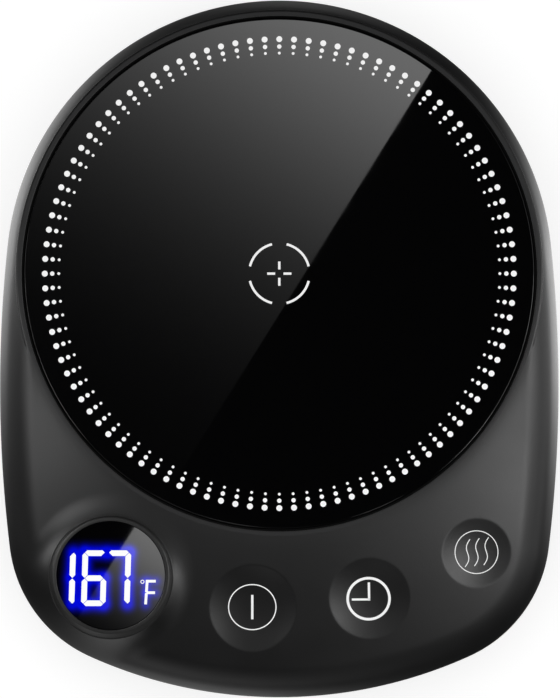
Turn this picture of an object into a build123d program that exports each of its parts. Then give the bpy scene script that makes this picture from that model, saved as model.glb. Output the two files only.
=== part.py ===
from build123d import *
import os
from math import asin, atan2, cos, degrees, hypot, radians, sin, sqrt, tan

# Electric mug warmer, in millimetres. +Z is up, +Y points from the controls to the back, and the
# origin is on the table under the middle of the plan. Every part is built where it sits.

os.makedirs("parts", exist_ok=True)

# Plan of the housing: four tangent arcs on each side, drawn about the axis of the heating plate.
HEAT_Y = 16.2            # heating axis, behind the middle of the plan
REAR_R = 58.7            # arc round the back of the heating plate
SIDE_R = 307.0           # long flank
CORNER_R = 29.6          # front corners
FRONT_R = 100.0          # front edge
WIDEST_AHEAD = 26.5      # the flanks are widest this far in front of the heating axis
NOSE = 91.7              # heating axis to the front edge

# Housing in section.
DRAFT = 8.0              # degrees that the walls lean out, going up
WIDEST_Z = 16.4          # height where the wall reaches the plan's full size
BASE_Z = 1.5             # underside, carried off the table by the feet
PARTING_Z = 9.0          # joint between the base cover and the upper housing
LAND_Z = 25.0            # flat rim round the heating plate
CROWN_R = 542.0          # ball that crowns the deck
FLUSH_R = 57.2           # radius where the crown meets the level of the rim
EDGE_R = 8.0             # rounding between deck and wall
WALL = 2.2
LAP = 0.15               # clearance of the base cover's tongue

# Heating plate and its seat.
RIM_R = 56.7
SEAT_R = 55.4
SEAT_Z = 21.3
LEDGE_R = 51.5
LEDGE_Z = 18.8
GLASS_R = 55.0
GLASS_T = 3.0
GLASS_BEVEL = 0.25
SEAL_T = 0.5
SEAL_LIP = 2.6

# Heater stack, from the glass down.
SPREADER_R = 47.0
SPREADER_T = 1.2
MICA_R = 46.0
MICA_T = 0.3
TRACK_T = 0.2
PAD_T = 2.0
TRACK_RINGS = 6
TRACK_W = 3.6
TRACK_PITCH = 6.2
TRACK_OUTER_R = 43.5
TRACK_GAP = 1.6
SENSOR_HOLE_R = 3.0
SENSOR_FOOT_T = 1.2
STRIP_T = 0.4            # sprung strip of the two clips
TAIL_X = 5.0             # heater tails either side of the centre line
TAIL_R = 40.0            # and this far ahead of the heating axis
TAIL_HOLE_R = 1.6
FUSE_X, FUSE_Y = 14.0, HEAT_Y - 11.0
FUSE_R = 2.0
PLATE_R = 47.5
PLATE_T = 0.8
EAR_R = 52.5             # circle of the retaining plate's screws
EAR_PAD_R = 3.2

# Controls on the deck: (x, distance ahead of the heating axis, radius of the well).
WELLS = {"power": (-5.7, 71.9, 9.65), "timer": (19.4, 69.8, 8.9), "heat": (42.4, 60.0, 7.6)}
WELL_BALL_R = 30.0
WELL_FLOOR_Z = 20.0      # flat underside of the wells, where the touch springs press
WELL_PAD_R = 7.0

# Display.
LENS_X, LENS_Y = -36.2, HEAT_Y - 64.9
LENS_R = 11.75
LENS_T = 1.5
LENS_TOP_Z = 25.6
BEZEL_SHIFT = 0.3        # the bezel's foot is this far in front of the lens
BEZEL_R = 13.2
BEZEL_LIP_R = 12.5
BEZEL_TOP_Z = 25.9
BEZEL_FOOT_Z = 19.6
BEZEL_BORE_R = 11.1
BOSS_R = 13.4
FLARE_TOE_R = 18.4       # the hollow sweep up to the display leaves the deck here
FLARE_SECTIONS = 5
BOSS_Y = LENS_Y - BEZEL_SHIFT

# Boards.
CONTROL_TOP_Z = 14.6
POWER_TOP_Z = 6.8
BOARD_T = 1.6
POWER_X, POWER_Y = 66.0, 46.0
POWER_MID_Y = HEAT_Y + 6.0

# Screws and feet.
CASE_SPOTS = [(40.6, HEAT_Y + 31.7), (-40.6, HEAT_Y + 31.7), (21.0, HEAT_Y - 81.0), (-21.0, HEAT_Y - 81.0)]
CASE_BOSS_R = 4.2
CASE_PILOT_R = 1.35      # hole in the upper boss that the screw cuts its thread in
CASE_HEAD_HOLE_R = 3.3
CASE_SHANK_HOLE_R = 1.7
CASE_JOINT_Z = 9.6       # face where the lower and upper bosses meet
CASE_SEAT_Z = 4.6
FOOT_SPOTS = [(29.0, HEAT_Y + 35.0), (-29.0, HEAT_Y + 35.0), (38.0, HEAT_Y - 62.0), (-38.0, HEAT_Y - 62.0)]
FOOT_R = 6.0
FOOT_SINK = 0.8
FLOOR_Z = BASE_Z + WALL
BOARD_SPOTS = [(64.0, 217.0), (62.5, 254.0), (62.5, 296.0), (64.0, 326.0)]   # radius, polar degrees
BOARD_POST_R = 2.6
BOARD_PILOT_R = 0.95
BOARD_HOLE_R = 1.2
EAR_PILOT_R = 1.1
EAR_HOLE_R = 1.3
POWER_POST_R = 3.0
CLAMP_X, CLAMP_Y = 9.0, HEAT_Y + 46.0
CLAMP_Z = 12.0
CLAMP_POST_R = 3.0
CLAMP_PILOT_R = 1.1
CLAMP_T = 1.8

# Cord gland in the back wall, on the parting line.
GLAND_NECK_R = 4.0
GLAND_FLANGE_R = 5.5
GLAND_BORE_R = 3.0
GLAND_COLLAR_R = 4.3
GLAND_FACE_Y = 74.8
GLAND_FLANGE_Y = 69.9
GLAND_INNER_Y = 66.0

# Stiffening ribs, vents and the joint between the shells.
RIB_ANGLES = (223.0, 260.0, 275.5, 315.5)
RIB_TURN = 1.1           # degrees that a rib spans
RIB_Z = 17.2
VENT_PITCH = 5.6
VENT_W = 2.4
VENT_FIELD_R = 27.0      # the slots fill a circle of this size
VENT_FIELD_Y = HEAT_Y + 4.0
TONGUE_T = 1.2
TONGUE_H = 2.0
REVEAL = 0.5             # fine groove along the parting line
FLOOR_EDGE_R = 2.0

LEAN = tan(radians(DRAFT))
CROWN_Z = LAND_Z - sqrt(CROWN_R**2 - FLUSH_R**2)
GLASS_Z = SEAT_Z + SEAL_T
SPREADER_Z = GLASS_Z - SPREADER_T
UPPER_MICA_Z = SPREADER_Z - MICA_T
TRACK_Z = UPPER_MICA_Z - TRACK_T
LOWER_MICA_Z = TRACK_Z - MICA_T
PAD_Z = LOWER_MICA_Z - PAD_T
PLATE_Z = PAD_Z - PLATE_T
CONTROL_Z = CONTROL_TOP_Z - BOARD_T
POWER_Z = POWER_TOP_Z - BOARD_T


# ---- shapes that several parts share ----

def at_polar(radius, angle, centre=(0.0, HEAT_Y)):
    """Point at a radius and an angle in degrees, about the heating axis unless told otherwise."""
    return (centre[0] + radius * cos(radians(angle)), centre[1] + radius * sin(radians(angle)))


def mirrored(point):
    return (-point[0], point[1])


def post(x, y, z, radius, height):
    """Upright cylinder that starts at height z."""
    return Pos(x, y, z + height / 2) * Cylinder(radius, height)


def block(x, y, z, size_x, size_y, size_z):
    """Box centred in plan on x, y, and standing on z."""
    return Pos(x, y, z + size_z / 2) * Box(size_x, size_y, size_z)


def turned(points):
    """Solid of revolution about the heating axis from (radius, z) points."""
    section = Plane.XZ * make_face(Polyline(*points, close=True))
    return Pos(0, HEAT_Y, 0) * revolve(section, Axis.Z)


def outline(inset=0.0):
    """Plan of the housing as a face, offset inwards by inset."""
    flank_turn = asin(WIDEST_AHEAD / (SIDE_R - REAR_R))
    side_centre = (-(SIDE_R - REAR_R) * cos(flank_turn), HEAT_Y - WIDEST_AHEAD)
    front_centre = (0.0, HEAT_Y - NOSE + FRONT_R)
    to_side, to_front = SIDE_R - CORNER_R, FRONT_R - CORNER_R
    run_x, run_y = front_centre[0] - side_centre[0], front_centre[1] - side_centre[1]
    span = hypot(run_x, run_y)
    along = (to_side**2 - to_front**2 + span**2) / (2 * span)
    aside = sqrt(to_side**2 - along**2)
    corner_centre = (
        side_centre[0] + (along * run_x + aside * run_y) / span,
        side_centre[1] + (along * run_y - aside * run_x) / span,
    )
    flank_end = degrees(atan2(corner_centre[1] - side_centre[1], corner_centre[0] - side_centre[0]))
    corner_end = degrees(atan2(corner_centre[1] - front_centre[1], corner_centre[0] - front_centre[0]))
    flank_start = degrees(flank_turn)
    side_r, corner_r = SIDE_R - inset, CORNER_R - inset
    shoulder = at_polar(REAR_R - inset, flank_start)
    flank_mid = at_polar(side_r, (flank_start + flank_end) / 2, side_centre)
    hip = at_polar(side_r, flank_end, side_centre)
    corner_mid = at_polar(corner_r, (flank_end + corner_end) / 2, corner_centre)
    toe = at_polar(corner_r, corner_end, corner_centre)
    arcs = [
        ThreePointArc(shoulder, at_polar(REAR_R - inset, 90), mirrored(shoulder)),
        ThreePointArc(mirrored(shoulder), mirrored(flank_mid), mirrored(hip)),
        ThreePointArc(mirrored(hip), mirrored(corner_mid), mirrored(toe)),
        ThreePointArc(mirrored(toe), (0, HEAT_Y - NOSE + inset), toe),
        ThreePointArc(toe, corner_mid, hip),
        ThreePointArc(hip, flank_mid, shoulder),
    ]
    return make_face(Curve() + arcs)


def drafted(inset, bottom, top):
    """Block with the housing's leaning wall, offset inwards, between two heights."""
    foot = outline(inset + LEAN * (WIDEST_Z - bottom))
    return extrude(Pos(0, 0, bottom) * foot, amount=top - bottom, taper=-DRAFT)


def pebble(inset, edge_radius, lift=0.0):
    """The housing's outer form: leaning wall, crowned deck and a round edge between them."""
    body = drafted(inset, BASE_Z, BASE_Z + 32.0)
    crown = Pos(0, HEAT_Y, CROWN_Z + lift) * Sphere(CROWN_R - inset)
    form = (body & crown).solids()[0]
    deck = form.faces().sort_by(Axis.Z)[-1]
    return fillet(deck.edges(), edge_radius)


def band(inner, outer, start, end):
    """Face of a ring sector about the heating axis, angles in degrees."""
    middle = (start + end) / 2
    sides = [
        ThreePointArc(at_polar(inner, start), at_polar(inner, middle), at_polar(inner, end)),
        Line(at_polar(inner, end), at_polar(outer, end)),
        ThreePointArc(at_polar(outer, end), at_polar(outer, middle), at_polar(outer, start)),
        Line(at_polar(outer, start), at_polar(inner, start)),
    ]
    return make_face(Curve() + sides)


def raised(face, z, height):
    return extrude(Pos(0, 0, z) * face, amount=height, dir=(0, 0, 1))


def deck_point(x, y):
    """Point of the crowned deck above x, y."""
    return Vector(x, y, CROWN_Z + sqrt(CROWN_R**2 - x**2 - (y - HEAT_Y) ** 2))


def deck_normal(x, y):
    return (deck_point(x, y) - Vector(0, HEAT_Y, CROWN_Z)).normalized()


def screw(x, y, seat_z, head_r, head_h, shank_r, length):
    """Pan-head screw driven upwards: the head hangs below seat_z, with a cross recess."""
    head = chamfer(post(x, y, seat_z - head_h, head_r, head_h).edges().sort_by(Axis.Z)[0], head_h * 0.4)
    cross = block(x, y, seat_z - head_h, head_r, 0.5, 0.8) + block(x, y, seat_z - head_h, 0.5, head_r, 0.8)
    shank = chamfer(post(x, y, seat_z, shank_r, length).edges().sort_by(Axis.Z)[-1], shank_r * 0.5)
    return head + shank - cross


def wire(points, radius, bends):
    """Insulated lead along straight runs joined by tangent arcs."""
    path = FilletPolyline(*points, radius=bends)
    start = Plane(origin=path @ 0, z_dir=path % 0)
    return sweep(start * Circle(radius), path=path)


# ---- housing ----

def display_boss():
    """Column round the display and the hollow flare that sweeps up to it from the deck."""
    foot = deck_point(LENS_X, BOSS_Y)
    normal = deck_normal(LENS_X, BOSS_Y)
    slope_x, slope_y = -normal.X / normal.Z, -normal.Y / normal.Z
    sections = []
    for step in range(FLARE_SECTIONS):
        share = step / (FLARE_SECTIONS - 1)
        climb = (1 - share) ** 2
        radius = BOSS_R + share * (FLARE_TOE_R - BOSS_R)
        lean = 1 - climb * BOSS_R / radius
        deck_z = foot.Z - radius**2 / (2 * CROWN_R)
        middle = (LENS_X, BOSS_Y, deck_z + climb * (LAND_Z - deck_z))
        plane = Plane(origin=middle, z_dir=(-slope_x * lean, -slope_y * lean, 1))
        sections.append(plane * Circle(radius))
    flare = loft(sections) + extrude(sections[-1], amount=-3.0)
    flare = flare & pebble(0.0, EDGE_R, lift=3.0)
    return flare + post(LENS_X, BOSS_Y, 14.0, BOSS_R, LAND_Z - 14.0)


def housing_ribs():
    """Thin webs that stiffen the deck from inside, between the touch pads."""
    ribs = [raised(band(RIM_R - 1.0, 79.0, start, start + RIB_TURN), RIB_Z, 6.0) for start in RIB_ANGLES]
    return sum(ribs[1:], ribs[0])


def ear_pads():
    """Pads under the ledge that carry the retaining plate's ears."""
    pads = [post(*at_polar(EAR_R, angle), PAD_Z, EAR_PAD_R, SEAT_Z - PAD_Z) for angle in range(0, 360, 90)]
    return sum(pads[1:], pads[0])


def key_wells():
    """Balls that hollow the three wells out of the deck."""
    balls = []
    for x, ahead, radius in WELLS.values():
        rise = sqrt(WELL_BALL_R**2 - radius**2)
        centre = deck_point(x, HEAT_Y - ahead) + deck_normal(x, HEAT_Y - ahead) * rise
        balls.append(Pos(*centre) * Sphere(WELL_BALL_R))
    return balls


def upper_housing():
    """Moulded shell: crowned deck, heating-plate rim and ledge, three wells, display boss."""
    level = Pos(0, 0, LAND_Z - 50) * Box(200, 200, 100)
    skin = (pebble(0.0, EDGE_R) & level).solids()[0]
    flare = display_boss() & level
    shell = skin + flare - pebble(WALL, EDGE_R - WALL)

    inner = post(LENS_X, BOSS_Y, BEZEL_FOOT_Z - 1.4, BEZEL_R + 1.2, 5.0)
    for x, ahead, _ in WELLS.values():
        inner += post(x, HEAT_Y - ahead, WELL_FLOOR_Z, WELL_PAD_R, 5.0)
    for x, y in CASE_SPOTS:
        inner += post(x, y, CASE_JOINT_Z, CASE_BOSS_R, LAND_Z - 2 * WALL - CASE_JOINT_Z)
    for radius, angle in BOARD_SPOTS:
        inner += post(*at_polar(radius, angle), CONTROL_TOP_Z, BOARD_POST_R, 8.0)
    inner += housing_ribs()
    inner = inner & (skin + flare)
    pads = ear_pads()
    shell = shell + (inner + pads) + post(0, HEAT_Y, LEDGE_Z, RIM_R, LAND_Z - LEDGE_Z)

    cuts = [post(0, HEAT_Y, SEAT_Z, SEAT_R, 10.0)]
    cuts += [post(0, HEAT_Y, LEDGE_Z - 4.0, LEDGE_R, 10.0) - pads]
    cuts += [post(LENS_X, BOSS_Y, BEZEL_FOOT_Z, BEZEL_R, 10.0)]
    cuts += [post(LENS_X, BOSS_Y, 12.0, BEZEL_R - 1.4, 10.0)]
    cuts += key_wells()
    cuts += [post(x, y, CASE_JOINT_Z - 1, CASE_PILOT_R, 9.0) for x, y in CASE_SPOTS]
    cuts += [post(*at_polar(*spot), CONTROL_TOP_Z - 1, BOARD_PILOT_R, 5.0) for spot in BOARD_SPOTS]
    cuts += [post(*at_polar(EAR_R, angle), PAD_Z - 1, EAR_PILOT_R, 3.6) for angle in range(0, 360, 90)]
    cuts += [gland_axis_cylinder(GLAND_NECK_R, 60.0, 80.0)]
    cuts += [Pos(0, 0, PARTING_Z - 50) * Box(200, 200, 100)]
    for cut in cuts:
        shell = shell - cut
    return shell


def gland_axis_cylinder(radius, start_y, end_y):
    middle = (start_y + end_y) / 2
    return Pos(0, middle, PARTING_Z) * Rot(90, 0, 0) * Cylinder(radius, end_y - start_y)


def vent_slots():
    """Slots under the heater, shorter towards the sides so that they fill a circle."""
    slots = []
    for step in range(-4, 5):
        x = step * VENT_PITCH
        straight = 2 * sqrt(VENT_FIELD_R**2 - x**2) - VENT_W
        slot = block(x, VENT_FIELD_Y, BASE_Z - 1, VENT_W, straight, WALL + 2)
        for side in (-1, 1):
            slot += post(x, VENT_FIELD_Y + side * straight / 2, BASE_Z - 1, VENT_W / 2, WALL + 2)
        slots.append(slot)
    return slots


def base_cover():
    """Moulded tray with a tongue that laps inside the upper housing."""
    tray = drafted(0.0, BASE_Z, PARTING_Z)
    floor_edges = tray.faces().sort_by(Axis.Z)[0].edges()
    tray = fillet(floor_edges, FLOOR_EDGE_R)
    tray = tray - drafted(WALL, FLOOR_Z, PARTING_Z + 1)
    reveal = drafted(-1.0, PARTING_Z - REVEAL, PARTING_Z) - drafted(REVEAL, PARTING_Z - 1.0, PARTING_Z + 0.5)
    inside = drafted(WALL + LAP, BASE_Z, PARTING_Z + 3.0)
    cover = tray + tongue() + tongue_foot() - reveal
    for x, y in CASE_SPOTS:
        cover += post(x, y, BASE_Z + 0.5, CASE_BOSS_R, CASE_JOINT_Z - BASE_Z - 0.5) & inside
    for x, y in power_spots():
        cover += post(x, y, FLOOR_Z - 0.5, POWER_POST_R, POWER_Z - FLOOR_Z + 0.5)
    for side in (-1, 1):
        cover += post(side * CLAMP_X, CLAMP_Y, FLOOR_Z - 0.5, CLAMP_POST_R, CLAMP_Z - FLOOR_Z + 0.5)
    cover += block(0, CLAMP_Y, FLOOR_Z - 0.5, 2 * CLAMP_X - 4.0, 2.0, 2.8)

    above_floor = block(0, 68, FLOOR_Z + 0.01, 20, 12, 20)
    cuts = vent_slots() + [gland_axis_cylinder(GLAND_NECK_R, 60.0, 80.0)]
    cuts += [gland_axis_cylinder(GLAND_FLANGE_R + 0.2, 60.0, 71.2) & above_floor]
    cuts += [post(x, y, BASE_Z - 1, CASE_HEAD_HOLE_R, CASE_SEAT_Z - BASE_Z + 1) for x, y in CASE_SPOTS]
    cuts += [post(x, y, BASE_Z, CASE_SHANK_HOLE_R, 12.0) for x, y in CASE_SPOTS]
    cuts += [post(x, y, BASE_Z - 1, FOOT_R + LAP, 1 + FOOT_SINK) for x, y in FOOT_SPOTS]
    cuts += [post(x, y, BASE_Z + 1.0, BOARD_PILOT_R, 5.0) for x, y in power_spots()]
    cuts += [post(side * CLAMP_X, CLAMP_Y, BASE_Z + 2.0, CLAMP_PILOT_R, 12.0) for side in (-1, 1)]
    for cut in cuts:
        cover = cover - cut
    return cover


def tongue():
    """Thin wall that laps inside the upper housing, with gaps at the case bosses."""
    wall = drafted(WALL + LAP, FLOOR_Z, PARTING_Z + TONGUE_H)
    wall -= drafted(WALL + LAP + TONGUE_T, FLOOR_Z - 1, PARTING_Z + TONGUE_H + 1)
    for x, y in CASE_SPOTS:
        wall -= post(x, y, PARTING_Z - 0.5, CASE_BOSS_R + LAP, 5.0)
    return wall


def tongue_foot():
    """Root that joins the tongue to the tray's wall, below the parting line."""
    root = drafted(WALL - 0.4, FLOOR_Z - 0.5, PARTING_Z - 0.6)
    return root - drafted(WALL + LAP + TONGUE_T, FLOOR_Z - 1, PARTING_Z)


def power_spots():
    half_x, half_y = POWER_X / 2 - 4.0, POWER_Y / 2 - 4.0
    return [(sx * half_x, POWER_MID_Y + sy * half_y) for sx in (-1, 1) for sy in (-1, 1)]


def rubber_foot(x, y):
    foot = post(x, y, 0.0, FOOT_R, BASE_Z + FOOT_SINK)
    return chamfer(foot.edges().sort_by(Axis.Z)[0], 0.6)


def case_screw(x, y):
    return screw(x, y, CASE_SEAT_Z, 2.8, 1.9, 1.3, 12.0)


def cord_gland(shells):
    """Flanged rubber bush that the two shells grip; only the bush, with no cord in it."""
    body = gland_axis_cylinder(GLAND_FLANGE_R, GLAND_FLANGE_Y, GLAND_FACE_Y)
    face_ring = body.edges().filter_by(GeomType.CIRCLE).sort_by(Axis.Y)[-1]
    body = fillet(face_ring, 0.5)
    body += gland_axis_cylinder(GLAND_COLLAR_R, GLAND_INNER_Y, GLAND_FLANGE_Y + 0.6)
    body -= gland_axis_cylinder(GLAND_BORE_R, 60.0, 80.0)
    for shell in shells:
        body = body - shell
    return body.solids().sort_by(SortBy.VOLUME)[-1]


# ---- heating plate ----

def glass_plate():
    plate = post(0, HEAT_Y, GLASS_Z, GLASS_R, GLASS_T)
    return chamfer(plate.edges().sort_by(Axis.Z)[-1], GLASS_BEVEL)


def plate_gasket():
    """Silicone seal: a flat seat under the glass and a lip up its edge."""
    return turned([
        (LEDGE_R + 0.2, SEAT_Z), (SEAT_R, SEAT_Z), (SEAT_R, GLASS_Z + SEAL_LIP),
        (GLASS_R, GLASS_Z + SEAL_LIP), (GLASS_R, GLASS_Z), (LEDGE_R + 0.2, GLASS_Z),
    ])


def tail_holes(z, height):
    """Two holes that the heater tails pass down through."""
    left = post(-TAIL_X, HEAT_Y - TAIL_R, z - 0.5, TAIL_HOLE_R, height + 1)
    return left + post(TAIL_X, HEAT_Y - TAIL_R, z - 0.5, TAIL_HOLE_R, height + 1)


def heat_spreader():
    return post(0, HEAT_Y, SPREADER_Z, SPREADER_R, SPREADER_T)


def mica_sheet(z, holed):
    sheet = post(0, HEAT_Y, z, MICA_R, MICA_T)
    sheet -= post(0, HEAT_Y, z - 0.5, SENSOR_HOLE_R, MICA_T + 1)
    return sheet - tail_holes(z, MICA_T) if holed else sheet


def heater_track():
    """Etched foil: two mirrored meanders of half rings, joined at the innermost ring."""
    radii = [TRACK_OUTER_R - ring * TRACK_PITCH for ring in range(TRACK_RINGS)]
    foil = None
    for base in (-90.0, 90.0):
        for ring, outer in enumerate(radii):
            gap = degrees(asin(TRACK_GAP / outer))
            turn = band(outer - TRACK_W, outer, base + gap, base + 180 - gap)
            foil = turn if foil is None else foil + turn
            if ring + 1 == TRACK_RINGS:
                continue
            at_back = ring % 2 == 0
            width = degrees(TRACK_W / outer)
            on_end = at_back == (base < 0)
            start = base + 180 - gap - width if on_end else base + gap
            foil += band(radii[ring + 1] - TRACK_W + 0.1, outer - 0.1, start, start + width)
    inner = radii[-1]
    foil += Pos(0, HEAT_Y - inner + TRACK_W / 2) * Rectangle(4 * TRACK_GAP, TRACK_W - 0.4)
    return raised(foil, TRACK_Z, TRACK_T)


def insulation_pad():
    pad = post(0, HEAT_Y, PAD_Z, MICA_R - 1.0, PAD_T)
    pad -= post(0, HEAT_Y, PAD_Z - 0.5, SENSOR_HOLE_R, PAD_T + 1)
    return pad - tail_holes(PAD_Z, PAD_T)


def retaining_plate():
    """Pressed steel plate with a stiffening bead and four ears."""
    bead = [
        (SENSOR_HOLE_R + 0.4, PAD_Z), (26.0, PAD_Z), (27.0, PAD_Z - PLATE_T), (33.0, PAD_Z - PLATE_T),
        (34.0, PAD_Z), (PLATE_R, PAD_Z), (PLATE_R, PLATE_Z), (34.4, PLATE_Z), (33.4, PLATE_Z - PLATE_T),
        (26.6, PLATE_Z - PLATE_T), (25.6, PLATE_Z), (SENSOR_HOLE_R + 0.4, PLATE_Z),
    ]
    plate = turned(bead)
    for angle in range(0, 360, 90):
        x, y = at_polar(EAR_R - 4.0, angle)
        ear = post(*at_polar(EAR_R, angle), PLATE_Z, EAR_PAD_R, PLATE_T)
        ear += Pos(x, y, PLATE_Z + PLATE_T / 2) * Rot(0, 0, angle) * Box(8.0, 2 * EAR_PAD_R, PLATE_T)
        plate = plate + ear - post(*at_polar(EAR_R, angle), PLATE_Z - 1, EAR_HOLE_R, PLATE_T + 2)
    return plate - tail_holes(PLATE_Z, PLATE_T)


def plate_screw(angle):
    return screw(*at_polar(EAR_R, angle), PLATE_Z, 2.3, 1.5, 1.05, 3.2)


# ---- display ----

def display_bezel():
    """Ring with a sloping face: its foot sits a little in front of the round lens opening."""
    foot = Pos(LENS_X, BOSS_Y, LAND_Z) * Circle(BEZEL_R)
    lip = Pos(LENS_X, LENS_Y, BEZEL_TOP_Z) * Circle(BEZEL_LIP_R)
    ring = post(LENS_X, BOSS_Y, BEZEL_FOOT_Z, BEZEL_R, LAND_Z - BEZEL_FOOT_Z) + loft([foot, lip])
    ring -= post(LENS_X, LENS_Y, LENS_TOP_Z - LENS_T, LENS_R, 5.0)
    return ring - post(LENS_X, LENS_Y, BEZEL_FOOT_Z - 1, BEZEL_BORE_R, 10.0)


def display_lens():
    lens = post(LENS_X, LENS_Y, LENS_TOP_Z - LENS_T, LENS_R, LENS_T)
    return chamfer(lens.edges().sort_by(Axis.Z)[-1], 0.15)


def display_module():
    """Light-emitting display block that stands on the control board under the lens."""
    return post(LENS_X, LENS_Y, CONTROL_TOP_Z, BEZEL_BORE_R - 0.2, LENS_TOP_Z - LENS_T - 0.3 - CONTROL_TOP_Z)


# ---- control board ----

def control_board():
    """Crescent board that follows the front of the heating plate."""
    plan = band(58.5, 78.5, 212.0, 331.0) + Pos(LENS_X, LENS_Y) * Circle(13.5)
    board = raised(plan, CONTROL_Z, BOARD_T) & drafted(WALL + 2.0, CONTROL_Z, CONTROL_TOP_Z)
    for radius, angle in BOARD_SPOTS:
        board -= post(*at_polar(radius, angle), CONTROL_Z - 1, BOARD_HOLE_R, BOARD_T + 2)
    return board


def board_screw(radius, angle):
    return screw(*at_polar(radius, angle), CONTROL_Z, 2.0, 1.3, 0.9, 5.0)


def touch_spring(x, ahead):
    """Coil that carries the touch signal from the board to the underside of a well."""
    wire_r, coil_r, turns = 0.35, 3.0, 4
    height = WELL_FLOOR_Z - CONTROL_TOP_Z - 2 * wire_r
    path = Helix(pitch=height / turns, height=height, radius=coil_r)
    start = Plane(origin=path @ 0, z_dir=path % 0)
    coil = sweep(start * RegularPolygon(wire_r, 6), path=path)
    return Pos(x, HEAT_Y - ahead, CONTROL_TOP_Z + wire_r) * coil


def microcontroller():
    """Packaged chip under the control board, with a row of legs on each side."""
    x, y, legs, pitch = 6.0, HEAT_Y - 68.0, 14, 1.27
    chip = chamfer(block(x, y, CONTROL_Z - 2.3, legs * pitch, 7.5, 2.2).edges().group_by(Axis.Z)[0], 0.3)
    for leg in range(legs):
        leg_x = x + (leg - (legs - 1) / 2) * pitch
        chip += block(leg_x, y, CONTROL_Z - 0.25, 0.42, 10.2, 0.25)
        chip += block(leg_x, y, CONTROL_Z - 1.4, 0.42, 8.1, 1.3)
    return chip


def buzzer():
    x, y = at_polar(69.0, 316.0)
    can = chamfer(post(x, y, CONTROL_Z - 4.2, 4.5, 4.2).edges().sort_by(Axis.Z)[0], 0.4)
    return can - post(x, y, CONTROL_Z - 5.0, 0.9, 2.0)


# ---- power board ----

def power_board():
    board = block(0, POWER_MID_Y, POWER_Z, POWER_X, POWER_Y, BOARD_T)
    board = fillet(board.edges().filter_by(Axis.Z), 2.0)
    for x, y in power_spots():
        board -= post(x, y, POWER_Z - 1, BOARD_HOLE_R, BOARD_T + 2)
    return board


def power_screw(x, y):
    return Pos(0, 0, 2 * POWER_TOP_Z) * mirror(screw(x, y, POWER_TOP_Z, 2.0, 1.3, 0.9, 4.2), Plane.XY)


def relay():
    body = block(-20.0, POWER_MID_Y + 10.5, POWER_TOP_Z, 18.5, 10.2, 7.8)
    return chamfer(body.edges().group_by(Axis.Z)[-1], 0.5)


def transformer():
    """Low bobbin between two ferrite cheeks."""
    x, y, z, height, cheek = 18.0, POWER_MID_Y - 2.0, POWER_TOP_Z, 7.6, 1.2
    core = block(x, y, z, 17.0, 4.6, height)
    bobbin = block(x, y, z, 12.0, 13.0, cheek) + block(x, y, z + height - cheek, 12.0, 13.0, cheek)
    winding = block(x, y, z + cheek, 9.6, 11.2, height - 2 * cheek)
    return core + bobbin + fillet(winding.edges().filter_by(Axis.Z), 1.5)


def smoothing_capacitor():
    """Electrolytic can lying on the board, with the crimped groove near its leads."""
    x, y, radius, length = -23.0, POWER_MID_Y - 3.0, 3.9, 14.0
    groove = Cylinder(radius + 1, 0.8) - Cylinder(radius - 0.4, 0.8)
    can = Cylinder(radius, length) - Pos(0, 0, 1.8 - length / 2) * groove
    return Pos(x, y, POWER_TOP_Z + radius) * Rot(90, 0, 0) * can


def film_capacitor():
    body = block(2.0, POWER_MID_Y + 15.0, POWER_TOP_Z, 13.0, 6.0, 7.6)
    return fillet(body.edges().group_by(Axis.Z)[-1], 0.5)


def board_fuse():
    """Glass tube with a metal cap at each end, in two spring clips."""
    x, y, z, cap_x = 18.0, POWER_MID_Y + 8.2, POWER_TOP_Z + 3.4, 7.6
    tube = Pos(x, y, z) * Rot(0, 90, 0) * Cylinder(2.4, 12.0)
    for side in (-1, 1):
        tube += Pos(x + side * cap_x, y, z) * Rot(0, 90, 0) * Cylinder(2.6, 4.8)
        tube += block(x + side * cap_x, y, POWER_TOP_Z, 3.6, 5.4, 2.2)
    return tube


def terminal_block():
    """Three-way block: a screw well and a wire entry at each way."""
    x, y, z, pitch = -1.0, POWER_MID_Y - 17.0, POWER_TOP_Z, 5.0
    body = block(x, y, z, 3 * pitch + 0.2, 7.6, 7.0)
    for way in (-1, 0, 1):
        body -= post(x + way * pitch, y - 0.6, z + 4.5, 1.7, 4.0)
        body -= block(x + way * pitch, y - 4.5, z + 1.2, 3.0, 5.0, 2.6)
    return body


# ---- sensors, leads and cord clamp ----

def thermistor():
    """Bead that presses on the spreader through the hole in the stack."""
    bead = post(0, HEAT_Y, PLATE_Z - SENSOR_FOOT_T, 1.7, SPREADER_Z - PLATE_Z + SENSOR_FOOT_T)
    foot = post(0, HEAT_Y, PLATE_Z - SENSOR_FOOT_T, 2.6, SENSOR_FOOT_T)
    return fillet(bead.edges().sort_by(Axis.Z)[-1], 0.8) + foot


def thermistor_clip():
    """Sprung strip under the thermistor, fixed to the retaining plate at both ends."""
    low, width, reach = PLATE_Z - SENSOR_FOOT_T - STRIP_T, 4.0, 6.0
    strip = block(0, HEAT_Y, low, 2 * reach, width, STRIP_T)
    for side in (-1, 1):
        strip += block(side * (reach + STRIP_T / 2), HEAT_Y, low, STRIP_T, width, PLATE_Z - low)
        strip += block(side * (reach + 2.4), HEAT_Y, PLATE_Z - STRIP_T, 4.8, width, STRIP_T)
    return strip


def thermal_fuse():
    """One-shot cut-out against the retaining plate, in series with one heater tail."""
    body = Cylinder(FUSE_R, 10.0) + Cylinder(0.5, 16.0)
    return Pos(FUSE_X, FUSE_Y, PLATE_Z - FUSE_R) * Rot(90, 0, 0) * body


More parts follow.
